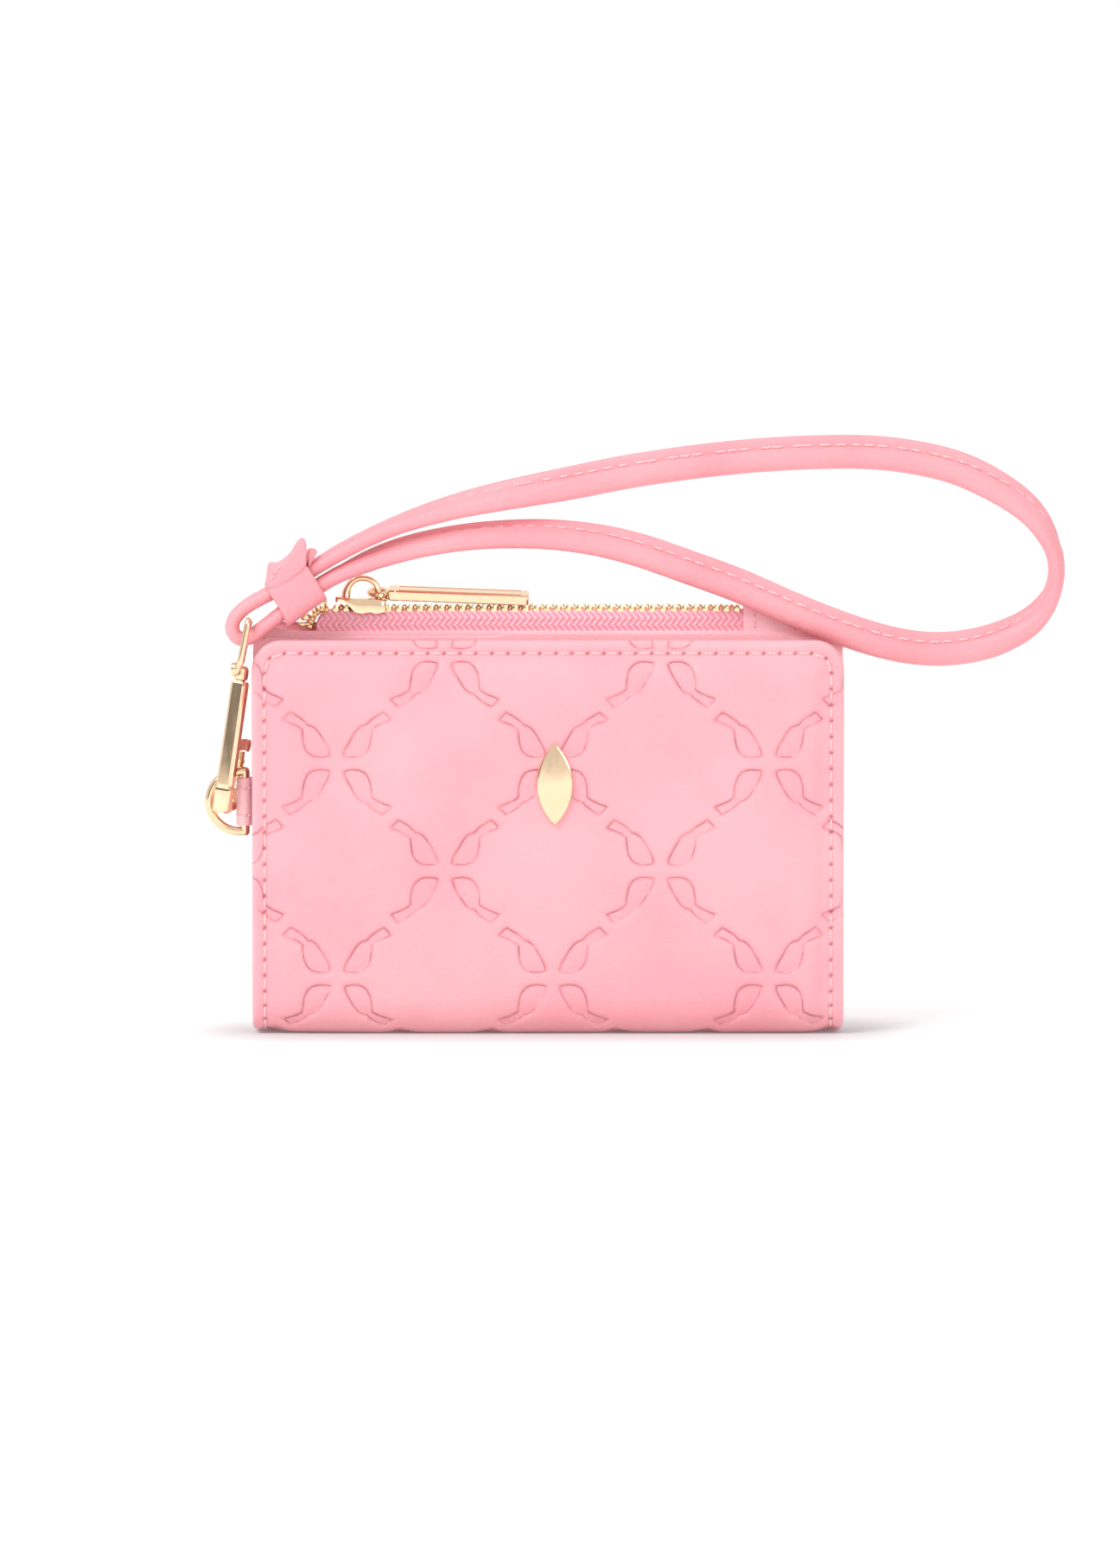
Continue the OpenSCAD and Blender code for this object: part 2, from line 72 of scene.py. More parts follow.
def new_piece(name, points, faces, material, sharp=None, attributes=()):
    """A smooth mesh object from points in mm. sharp is the angle over which an edge stays hard."""
    mesh = bpy.data.meshes.new(name)
    mesh.from_pydata((np.asarray(points, float) * MM).tolist(), [], faces)
    for title, values in attributes:
        mesh.attributes.new(title, "FLOAT", "POINT").data.foreach_set("value", values)
    bm = bmesh.new()
    bm.from_mesh(mesh)
    bmesh.ops.recalc_face_normals(bm, faces=bm.faces)
    bm.to_mesh(mesh)
    bm.free()
    mesh.polygons.foreach_set("use_smooth", [True] * len(mesh.polygons))
    if sharp:
        mesh.set_sharp_from_angle(angle=math.radians(sharp))
    mesh.materials.append(material)
    obj = bpy.data.objects.new(name, mesh)
    bpy.context.scene.collection.objects.link(obj)
    return obj


def finished(name, shape, look, slot, body, *nodes, sharp=None):
    """A piece on the body it rides, standing for the named CAD nodes. slot is not used."""
    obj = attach(new_piece(name, *shape, M[look], sharp), body)
    if nodes:
        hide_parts(*nodes)
    return obj


def bent(obj):
    """A piece with its placement baked into its points; it rides no body."""
    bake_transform(obj)
    return obj


def sweep(rings, closed=False, folded=False):
    """Points and faces of a tube through rings of shape (count, points, 3), capped unless closed.

    folded is for rings that go out along one side of a sheet and back along the other."""
    rings = np.asarray(rings, float)
    m, n = rings.shape[:2]
    i = np.arange(m if closed else m - 1)[:, None]
    j = np.arange(n)[None, :]
    corners = [i * n + j, i * n + (j + 1) % n, (i + 1) % m * n + (j + 1) % n, (i + 1) % m * n + j]
    faces = np.stack(corners, -1).reshape(-1, 4).tolist()
    if folded:
        for start in (0, (m - 1) * n):
            faces += [[start + k, start + k + 1, start + n - 2 - k, start + n - 1 - k]
                      for k in range(n // 2 - 1)]
    elif not closed:
        faces += [list(range(n))[::-1], list(range((m - 1) * n, m * n))]
    return rings.reshape(-1, 3), faces


def zipped(points, first, second):
    """Triangles between two lines of point numbers that run side by side."""
    faces, i, j = [], 0, 0
    while i < len(first) - 1 or j < len(second) - 1:
        on_first = j == len(second) - 1
        if i < len(first) - 1 and not on_first:
            ahead = np.linalg.norm(points[first[i + 1]] - points[second[j]])
            on_first = ahead <= np.linalg.norm(points[first[i]] - points[second[j + 1]])
        if on_first:
            faces.append([first[i], first[i + 1], second[j]])
            i += 1
        else:
            faces.append([first[i], second[j + 1], second[j]])
            j += 1
    return faces


def joined(parts):
    """Several (points, faces) pairs as one."""
    points, faces, start = [], [], 0
    for p, f in parts:
        points.append(np.asarray(p, float))
        faces += [[start + k for k in face] for face in f]
        start += len(p)
    return np.concatenate(points), faces


def smooth_line(stations, steps, closed=False):
    """A Catmull-Rom curve through the stations, steps points for each stretch."""
    p = np.asarray(stations, float)
    n = len(p)
    if closed:
        ends = range(n)
    else:
        p = np.concatenate([[2 * p[0] - p[1]], p, [2 * p[-1] - p[-2]]])
        ends = range(1, n)
    out = []
    for i in ends:
        a, b, c, d = (p[k % len(p)] for k in (i - 1, i, i + 1, i + 2))
        for u in np.arange(steps) / steps:
            out.append(0.5 * (2 * b + (c - a) * u + (2 * a - 5 * b + 4 * c - d) * u * u
                              + (3 * b - a - 3 * c + d) * u ** 3))
    if not closed:
        out.append(p[-2])
    return np.array(out)


def unit(v):
    """Each vector at length 1."""
    v = np.asarray(v, float)
    return v / np.linalg.norm(v, axis=-1, keepdims=True)


def ramp(x, low, high):
    """0 below low, 1 above high, and smooth between them."""
    t = np.clip((np.asarray(x, float) - low) / (high - low), 0, 1)
    return t * t * (3 - 2 * t)


def tube(line, radius, sides=12, closed=False, up=(0, 1, 0)):
    """A round tube along a line, with radius one number or one for each point."""
    line = np.asarray(line, float)
    if closed:
        along = unit(np.roll(line, -1, 0) - np.roll(line, 1, 0))
    else:
        along = unit(np.gradient(line, axis=0))
    side = unit(np.cross(along, up))
    over = np.cross(side, along)
    r = np.broadcast_to(radius, len(line))[:, None, None]
    a = np.arange(sides) * 2 * math.pi / sides
    rings = line[:, None] + r * (np.cos(a)[None, :, None] * side[:, None]
                                 + np.sin(a)[None, :, None] * over[:, None])
    return sweep(rings, closed)


def two_sided(line, half):
    """A ring round a flat line of stations: out along one side and back along the other."""
    along = unit(np.gradient(line, axis=0))
    normal = np.stack([-along[:, 1], along[:, 0]], -1) * half
    return np.concatenate([line + normal, (line - normal)[::-1]])


def level(ring, x):
    """Flat (y, z) points set at one x."""
    return np.column_stack([np.full(len(ring), x), ring])


def stitch(at, along, outward, length, radius=0.26):
    """One thread stitch that lies along a seam and dips into the leather at both ends."""
    t = np.linspace(-1, 1, 7)
    lift = 0.34 * (1 - t ** 4) - 0.22
    width = radius * np.array([0.55, 0.9, 1.05, 1.0, 1.05, 0.9, 0.55])
    line = at + np.outer(t * length / 2, along) + np.outer(lift * radius / 0.26, outward)
    return tube(line, width, 6, up=outward)


# ---------------------------------------------------------------- materials


class Nodes:
    """Short ways to add shader nodes to a tree. An input is a constant or another node's output."""

    def __init__(self, tree):
        self.tree = tree

    def node(self, kind, inputs=(), **settings):
        made = self.tree.nodes.new("ShaderNode" + kind)
        for title, value in settings.items():
            setattr(made, title, value)
        for title, value in dict(inputs).items():
            self.put(made.inputs[title], value)
        return made

    def put(self, socket, value):
        if isinstance(value, bpy.types.NodeSocket):
            self.tree.links.new(value, socket)
        else:
            socket.default_value = value

    def math(self, operation, *values):
        return self.node("Math", enumerate(values), operation=operation).outputs[0]

    def between(self, value, low, high, out_low=0.0, out_high=1.0):
        """A smooth step from out_low to out_high as value goes from low to high."""
        return self.node("MapRange", {"Value": value, "From Min": low, "From Max": high,
                                      "To Min": out_low, "To Max": out_high},
                         interpolation_type="SMOOTHSTEP").outputs[0]


class Look(Nodes):
    """A node material on one Principled shader. Constants go straight on its sockets."""

    def __init__(self, name, **constants):
        self.material = bpy.data.materials.new(name)
        self.material.use_nodes = True
        super().__init__(self.material.node_tree)
        self.shader = self.tree.nodes["Principled BSDF"]
        for title, value in constants.items():
            self.shader.inputs[title.replace("_", " ")].default_value = value
        self.place = self.node("TexCoord").outputs["Object"]

    def scaled(self, x, y, z):
        """The place on the object, stretched along its axes."""
        return self.node("Mapping", {"Vector": self.place, "Scale": (x, y, z)}).outputs[0]

    def noise(self, scale, detail=2.0, vector=None, roughness=0.5):
        return self.node("TexNoise", {"Vector": vector or self.place, "Scale": scale,
                                      "Detail": detail, "Roughness": roughness}).outputs["Fac"]

    def cells(self, scale, vector=None):
        """Small rounded cells, as in leather grain."""
        return self.node("TexVoronoi", {"Vector": vector or self.place, "Scale": scale,
                                        "Smoothness": 0.5}, feature="SMOOTH_F1").outputs[0]

    def attribute(self, name):
        return self.node("Attribute", attribute_name=name).outputs["Fac"]

    def mix(self, share, first, second):
        made = self.node("Mix", data_type="RGBA")
        for socket, value in zip((made.inputs[0], made.inputs[6], made.inputs[7]),
                                 (share, first, second)):
            self.put(socket, value)
        return made.outputs[2]

    def bump(self, height, distance, strength=1.0, below=None):
        inputs = {"Height": height, "Distance": distance, "Strength": strength}
        if below:
            inputs["Normal"] = below
        return self.node("Bump", inputs).outputs[0]

    def done(self, colour=None, roughness=None, normal=None):
        for title, value in (("Base Color", colour), ("Roughness", roughness), ("Normal", normal)):
            if value is not None:
                self.put(self.shader.inputs[title], value)
        return self.material


def leather(name, colour, shade, pale, grain=1900.0, depth=0.00006, marked=False):
    """Smooth calf leather: fine grain, faint mottling, and with marks a dark pressed line and
    darkened slopes beside it that are painted shade, painted shade in the needle holes, and pale worn
    edges with a painted highlight.
    """
    look = Look(name, Specular_IOR_Level=0.42, Coat_Weight=0.06, Coat_Roughness=0.28,
                Sheen_Weight=0.08, Sheen_Roughness=0.4)
    mottle = look.between(look.noise(38.0, 4.0), 0.3, 0.75)
    tint = look.mix(look.math("MULTIPLY", mottle, 0.30), colour, shade)
    pores = look.between(look.cells(grain * 0.6), 0.0, 0.16, 1.0, 0.0)
    tint = look.mix(look.math("MULTIPLY", pores, 0.10), tint, shade)
    height = look.math("ADD", look.cells(grain), look.math("MULTIPLY", look.noise(520.0, 3.0), 0.8))
    normal = look.bump(height, depth)
    if marked:
        edge = look.math("ABSOLUTE", look.attribute("motif"))
        # painted shade: the pressed outline is darkened and broken up by noise, and the leather
        # sloping down to it is darkened a little
        line_shade_breaks = look.between(look.noise(330.0, 2.0), 0.36, 0.62, 0.12, 1.0)
        line = look.math("MULTIPLY", look.between(edge, 0.02, 0.17, 1.0, 0.0), line_shade_breaks)
        slope_shade = look.math("MULTIPLY", look.between(look.attribute("motif"), 0.0, 1.1, 1.0, 0.0), 0.08)
        tint = look.mix(look.math("MAXIMUM", look.math("MULTIPLY", line, 0.85), slope_shade), tint, shade)
        # painted shade: near black red inside the needle holes
        tint = look.mix(look.attribute("shaded_hole"), tint, (0.22, 0.02, 0.035, 1))
        # the 'wear' attribute mixes in the pale tint: edge wear together with a painted highlight
        # along the rounded edges, and a flat share on the inside faces
        tint = look.mix(look.attribute("wear"), tint, pale)
        step = look.between(look.attribute("motif"), -0.1, 0.6)
        normal = look.bump(step, 0.0004, 0.85, normal)
        normal = look.bump(look.math("SUBTRACT", 1.0, line), 0.00012, 0.8, normal)
    rough = look.between(look.noise(160.0, 3.0), 0.2, 0.8, 0.38, 0.5)
    return look.done(tint, rough, normal)


def gold(name, colour=(0.94, 0.69, 0.46, 1), roughness=0.14, dull=0.25):
    """Polished pale gold plating, with hairline scratches and slightly duller patches."""
    look = Look(name, Metallic=1.0)
    wear = look.between(look.noise(240.0, 4.0), 0.35, 0.8)
    hairs = look.noise(900.0, 2.0, look.scaled(1.0, 1.0, 0.08))
    tint = look.mix(look.math("MULTIPLY", wear, dull), colour, (0.74, 0.55, 0.32, 1))
    rough = look.math("ADD", look.math("MULTIPLY", wear, 0.08),
                      look.math("MULTIPLY", hairs, roughness * 1.2))
    return look.done(tint, rough, look.bump(hairs, 0.000012, 0.5))


def woven(name, colour, shade, pitch):
    """Plain weave of two sets of threads, pitch in metres."""
    look = Look(name, Specular_IOR_Level=0.25, Sheen_Weight=0.25, Sheen_Roughness=0.5)
    waves = [look.node("TexWave", {"Vector": look.place, "Scale": 0.314 / pitch, "Distortion": 0.6,
                                   "Detail": 2.0, "Detail Scale": 2.0},
                       bands_direction=axis).outputs["Fac"] for axis in "XZ"]
    cloth = look.math("MULTIPLY", *waves)
    tint = look.mix(look.between(cloth, 0.0, 0.6), shade, colour)
    tint = look.mix(look.math("MULTIPLY", look.noise(90.0, 3.0), 0.25), tint, shade)
    return look.done(tint, 0.78, look.bump(cloth, pitch * 0.35))


def herringbone(name, colour, shade, pitch=0.00128, band=0.0014):
    """Zip tape: plump slanted threads that change direction from band to band."""
    look = Look(name, Specular_IOR_Level=0.2)
    place = look.node("SeparateXYZ", {"Vector": look.place}).outputs
    zigzag = look.math("PINGPONG", place["Z"], band)
    slanted = look.math("ADD", place["X"], look.math("MULTIPLY", zigzag, 0.9))
    wobble = look.math("MULTIPLY", look.noise(500.0), 1.4)
    across = look.math("ADD", look.math("MULTIPLY", slanted, 2 * math.pi / pitch), wobble)
    yarn = look.math("MULTIPLY_ADD", look.math("SINE", across), 0.5, 0.5)
    rows = look.math("MULTIPLY", look.math("ADD", place["Z"], 0.0003), 2 * math.pi / band)
    rows = look.math("MULTIPLY_ADD", look.math("SINE", rows), 0.5, 0.5)
    cloth = look.math("MULTIPLY", yarn, look.math("MULTIPLY_ADD", rows, 0.6, 0.4))
    fibres = look.noise(2600.0, 2.0, look.scaled(1.0, 1.0, 0.5))
    cloth = look.math("MULTIPLY_ADD", fibres, 0.2, cloth)
    tint = look.mix(look.between(cloth, 0.08, 0.75), shade, colour)
    return look.done(tint, 0.7, look.bump(cloth, 0.00025))


def thread(name, colour, shade):
    """Twisted polyester thread."""
    look = Look(name, Specular_IOR_Level=0.35, Sheen_Weight=0.2)
    twist = look.node("TexWave", {"Vector": look.place, "Scale": 780.0, "Distortion": 1.0},
                      bands_direction="DIAGONAL").outputs["Fac"]
    return look.done(look.mix(twist, shade, colour), 0.55, look.bump(twist, 0.00005, 0.7))


def board(name, colour, shade, scale):
    """Fibrous board or foam inside the panels."""
    look = Look(name, Specular_IOR_Level=0.2)
    fibre = look.noise(scale, 5.0, look.scaled(1.0, 1.0, 2.5), 0.65)
    return look.done(look.mix(fibre, shade, colour), 0.9, look.bump(fibre, 0.00012, 0.7))


PINK = (0.94, 0.425, 0.465, 1)
PINK_SHADE = (0.80, 0.205, 0.27, 1)
# pale tint for worn edges, which also paints a highlight along them
PINK_PALE = (0.985, 0.60, 0.64, 1)
M = {
    "flap": leather("leather_embossed", PINK, PINK_SHADE, PINK_PALE, marked=True),
    "leather": leather("leather_smooth", (0.93, 0.41, 0.455, 1), PINK_SHADE, PINK_PALE),
    "strap": leather("leather_strap", (0.905, 0.365, 0.40, 1), (0.74, 0.17, 0.22, 1), PINK_PALE,
                     grain=1500.0, depth=0.00009),
    "lining": woven("lining_cloth", (0.93, 0.36, 0.43, 1), (0.78, 0.21, 0.28, 1), 0.00045),
    "tape": herringbone("zip_tape_weave", (1.0, 0.62, 0.68, 1), (0.95, 0.33, 0.42, 1)),
    # painted light: 'inner' and 'tab' are lighter copies of the smooth leather, which lift pieces
    # that sit in shade: the pocket fronts and corners, the zip's end tab and the D-ring's tab
    "inner": leather("leather_inner_lightened", (1.0, 0.56, 0.61, 1), (0.90, 0.34, 0.41, 1), PINK_PALE),
    "tab": leather("leather_tab_lightened", (1.0, 0.62, 0.66, 1), (0.92, 0.41, 0.46, 1), PINK_PALE),
    "gold": gold("gold_plating"),
    "gold_soft": gold("gold_cast", (0.94, 0.73, 0.42, 1), 0.22, 0.45),
    "thread": thread("thread_pink", (0.97, 0.66, 0.68, 1), (0.88, 0.42, 0.46, 1)),
    "foam": board("padding_foam", (0.86, 0.84, 0.80, 1), (0.68, 0.65, 0.60, 1), 900.0),
    "board": board("stiffener_board", (0.86, 0.40, 0.45, 1), (0.70, 0.27, 0.32, 1), 420.0),
    "core": board("cord_filler", (0.84, 0.80, 0.74, 1), (0.62, 0.58, 0.52, 1), 1200.0),
}


# ---------------------------------------------------------------- camera, floor and light

FRAME_CENTRE = Vector((2.45, 0.0, 50.4)) * MM
CAMERA_FAR = 1.9
CAMERA_RISE = math.radians(4.0)
VIEW_HEIGHT = 0.3173


def make_camera():
    """A long lens in front of the wallet, a little above it, that looks slightly down."""
    data = bpy.data.cameras.new("camera")
    data.sensor_fit = "VERTICAL"
    data.sensor_height = 36.0
    data.lens = 36.0 * (CAMERA_FAR - HALF_D * MM) / VIEW_HEIGHT
    camera = bpy.data.objects.new("camera", data)
    camera.location = FRAME_CENTRE + CAMERA_FAR * Vector(
        (0, -math.cos(CAMERA_RISE), math.sin(CAMERA_RISE)))
    camera.rotation_euler = (math.pi / 2 - CAMERA_RISE, 0, 0)
    bpy.context.scene.collection.objects.link(camera)
    bpy.context.scene.camera = camera


def make_floor():
    """A pale floor that curves up into a backdrop far behind, with a painted contact shadow round the
    wallet.
    """
    line = [(-4.0, 0.0), (0.4, 0.0), (1.6, 0.0)]
    line += [(1.6 + 0.8 * math.sin(a), 0.8 - 0.8 * math.cos(a))
             for a in np.radians(range(10, 91, 10))]
    line.append((2.4, 4.0))
    points = [(x * 1000, y * 1000, z * 1000) for y, z in line for x in (-5.0, 5.0)]
    faces = [[2 * i, 2 * i + 1, 2 * i + 3, 2 * i + 2] for i in range(len(line) - 1)]
    look = Look("studio_floor", Specular_IOR_Level=0.1)
    tint = look.mix(look.noise(3.0), (0.84, 0.84, 0.84, 1), (0.87, 0.87, 0.87, 1))
    place = look.node("SeparateXYZ", {"Vector": look.place}).outputs
    # painted contact shadow: within about 36 mm of the wallet's footprint the floor's colour fades to
    # grey
    painted_shadow_reach = []
    for axis, half in (("X", 0.052), ("Y", 0.004)):
        out = look.math("SUBTRACT", look.math("ABSOLUTE", place[axis]), half)
        painted_shadow_reach.append(look.math("POWER", look.math("MAXIMUM", out, 0.0), 2.0))
    soft = look.between(look.math("SQRT", look.math("ADD", *painted_shadow_reach)), 0.004, 0.036)
    tint = look.mix(soft, (0.62, 0.62, 0.62, 1), tint)
    # the floor glows faintly, and less inside the painted contact shadow
    look.put(look.shader.inputs["Emission Color"], (1, 1, 1, 1))
    look.put(look.shader.inputs["Emission Strength"], look.math("MULTIPLY_ADD", soft, 0.13, 0.1))
    floor = new_piece("floor", points, faces, look.done(tint, 0.8))


def area_light(name, place, size, power):
    """A square white light that faces the wallet."""
    data = bpy.data.lights.new(name, "AREA")
    data.size = size
    data.energy = power
    light = bpy.data.objects.new(name, data)
    light.location = place
    light.rotation_euler = (Vector((0, 0, 0.05)) - Vector(place)).to_track_quat("-Z", "Y").to_euler()
    bpy.context.scene.collection.objects.link(light)


# how bright a dark card is, against 1 for the white studio
FLAG_SHADE = 0.34
# dark cards that give the metal something to reflect: direction, and cosine at edge and core
FLAGS = (((-0.60, -0.78, 0.16), 0.95, 0.99), ((0.75, -0.6, -0.1), 0.95, 0.98))


def make_light():
    """An even white studio with two dark cards, a key light at the upper left and a weak fill."""
    world = bpy.data.worlds.new("world")
    world.use_nodes = True
    studio = Nodes(world.node_tree)
    place = studio.node("TexCoord").outputs["Generated"]
    shares = []
    for direction, low, high in FLAGS:
        facing = studio.node("VectorMath", {0: place, 1: Vector(direction).normalized()},
                             operation="DOT_PRODUCT").outputs["Value"]
        shares.append(studio.between(facing, low, high, 1, FLAG_SHADE))
    sky = world.node_tree.nodes["Background"]
    studio.put(sky.inputs[0], studio.math("MULTIPLY", *shares))
    sky.inputs[1].default_value = 0.8
    bpy.context.scene.world = world
    area_light("key", (-0.82, -0.85, 1.3), 0.8, 15)
    area_light("fill", (0.9, -1.7, 0.6), 0.9, 5.5)
    bpy.context.scene.view_settings.view_transform = "Standard"


make_camera()
make_floor()
make_light()


# ---------------------------------------------------------------- the two leather shells

CELL = 43.73                # repeat of the embossed lattice
CROSSING = (1.05, 11.4)     # one crossing of the lattice, x and height along the leather
LEAF_LOW, LEAF_HIGH, LEAF_HALF = 2.3, 10.2, 1.95
STEM_HIGH, STEM_HALF = 13.9, 0.75
PRESS = 0.42


def motif_distance(x, v):
    """Distance in mm to the nearest leaf of the lattice, negative inside it."""
    best = None
    for dx, dv in ((0, 0), (CELL / 2, CELL / 2)):
        a = np.abs((x - CROSSING[0] - dx + CELL / 2) % CELL - CELL / 2)
        b = np.abs((v - CROSSING[1] - dv + CELL / 2) % CELL - CELL / 2)
        pair = (a + b, a, b)
        best = pair if best is None else [np.where(pair[0] < best[0], p, q)
                                          for p, q in zip(pair, best)]
    along = (best[1] + best[2]) / math.sqrt(2)
    bend = 0.6 * np.sin((along - LEAF_LOW) * 0.6)
    across = np.abs((best[1] - best[2]) / math.sqrt(2) - bend)
    half_l = (LEAF_HIGH - LEAF_LOW) / 2
    r = (LEAF_HALF ** 2 + half_l ** 2) / (2 * LEAF_HALF)
    leaf = np.hypot(along - (LEAF_LOW + LEAF_HIGH) / 2, across + r - LEAF_HALF) - r
    stem_mid, stem_l = (LEAF_HIGH + STEM_HIGH - 1.0) / 2, (STEM_HIGH - LEAF_HIGH + 1.0) / 2
    wide = STEM_HALF + 0.10 * (along - stem_mid)
    qx, qy = np.abs(along - stem_mid) - stem_l, across - wide
    stem = np.hypot(np.maximum(qx, 0), np.maximum(qy, 0)) + np.minimum(np.maximum(qx, qy), 0)
    return np.minimum(leaf, stem)


def pressed(distance):
    """How far the leather is pressed in at that distance from a leaf's outline."""
    outside = np.exp(-(np.maximum(distance, 0) / 0.55) ** 1.15)
    inside = 1 - 0.35 * ramp(-distance, 0.1, 1.4)
    return PRESS * np.where(distance > 0, outside, inside)


class Shell:
    """Outer leather of one half, from the middle of the fold up to its top edge.

    side is -1 for the flap and 1 for the back. v is the height measured along the leather,
    equal to z on the flat part and running on round the fold."""

    def __init__(self, side, top, corner, margin, inner, swell):
        self.side, self.top, self.corner = side, top, corner
        self.margin, self.inner, self.swell = margin, inner, swell
        a = np.radians(np.linspace(0, 90, 91))
        y, z = HALF_D - FOLD_RUN + FOLD_RUN * np.cos(a), FOLD_H - FOLD_H * np.sin(a)
        self.arc = np.concatenate([[0], np.cumsum(np.hypot(np.diff(y), np.diff(z)))])
        self.angle = a
        self.low = FOLD_H - self.arc[-1] - (HALF_D - FOLD_RUN)

    def height(self, x):
        """Top edge at x, with its rounded corner."""
        in_corner = np.clip(np.abs(x) - (HALF_W - self.corner), 0, self.corner)
        return self.top - self.corner + np.sqrt(self.corner ** 2 - in_corner ** 2)

    def edge(self, x, v):
        """Distance inwards from the panel's edge."""
        qx, qz = np.abs(x) - (HALF_W - self.corner), v - (self.top - self.corner)
        out = np.hypot(np.maximum(qx, 0), np.maximum(qz, 0))
        return self.corner - out - np.minimum(np.maximum(qx, qz), 0)

    def base(self, v):
        """Outermost line: y outwards, z, and the outward normal."""
        turn = np.interp(FOLD_H - v, self.arc, self.angle)
        y = np.where(v < FOLD_H - self.arc[-1], v - self.low,
                     HALF_D - FOLD_RUN + FOLD_RUN * np.cos(turn))
        z = np.where(v > FOLD_H, v, FOLD_H - FOLD_H * np.sin(turn))
        ny, nz = np.cos(turn) / FOLD_RUN, -np.sin(turn) / FOLD_H
        size = np.hypot(ny, nz)
        return y, z, ny / size, nz / size

    def sunk(self, x, v):
        """Depth of the surface below the outermost line, without the motifs."""
        d = self.edge(x, v)
        puff = 1 - np.exp(-np.maximum(d - 3.1, 0) ** 2 / (2 * self.swell ** 2))
        margin = self.margin * (0.45 + 0.55 * ramp(v, -2, 9))
        wave = 0.10 * np.sin(x / 13 + 0.7) * np.sin(v / 17 + 1.1)
        crown = 0.25 * (x / HALF_W) ** 2
        left = np.maximum(EDGE_ROUND - d, 0)
        rounding = EDGE_ROUND - np.sqrt(np.maximum(EDGE_ROUND ** 2 - left ** 2, 0))
        seam = 0.22 * np.exp(-((d - 2.6) / 0.42) ** 2)
        return margin * (1 - puff) + puff * (wave + crown + 0.1) + rounding + seam

    def point(self, x, v, lift=0.0):
        """The place on the leather at x and v."""
        x, v = np.broadcast_arrays(np.asarray(x, float), np.asarray(v, float))
        y, z, ny, nz = self.base(v)
        depth = self.sunk(x, v) + pressed(motif_distance(x, v)) - lift
        return np.stack([x, self.side * (y - ny * depth), z - nz * depth], -1)

    def inner_depth(self, x, v):
        """Depth of the shell's inside: the leather's thickness, and a rim at the edges."""
        rim = (1 - ramp(self.edge(x, v), 2.9, 3.3)) * ramp(v, 8.0, 9.2)
        thick = self.margin * 0.45 + LEATHER
        return thick + rim * (self.inner - thick)


def stitch_path(shell, inset, low, radius):
    """Points (x, v) at stitch pitch, up the left side, across the top and down the right."""
    x, z = HALF_W - inset, shell.top - inset
    turn = np.radians(np.linspace(180, 90, 9))
    left = np.stack([-x + radius + radius * np.cos(turn), z - radius + radius * np.sin(turn)], -1)
    line = np.concatenate([[[-x, low]], left, left[::-1] * [-1, 1], [[x, low]]])
    run = np.concatenate([[0], np.cumsum(np.hypot(*np.diff(line, axis=0).T))])
    at = np.linspace(0, run[-1], int(run[-1] / STITCH_PITCH) + 1)
    return np.stack([np.interp(at, run, line[:, 0]), np.interp(at, run, line[:, 1])], -1)


def holes_near(x, v, holes):
    """1 in a needle hole and 0 away from it."""
    out = np.zeros(x.shape)
    for hx, hv in holes:
        near = (np.abs(x - hx) < 1.2) & (np.abs(v - hv) < 1.2)
        out[near] = np.maximum(out[near], np.exp(
            -((x[near] - hx) ** 2 + (v[near] - hv) ** 2) / 0.34 ** 2))
    return out


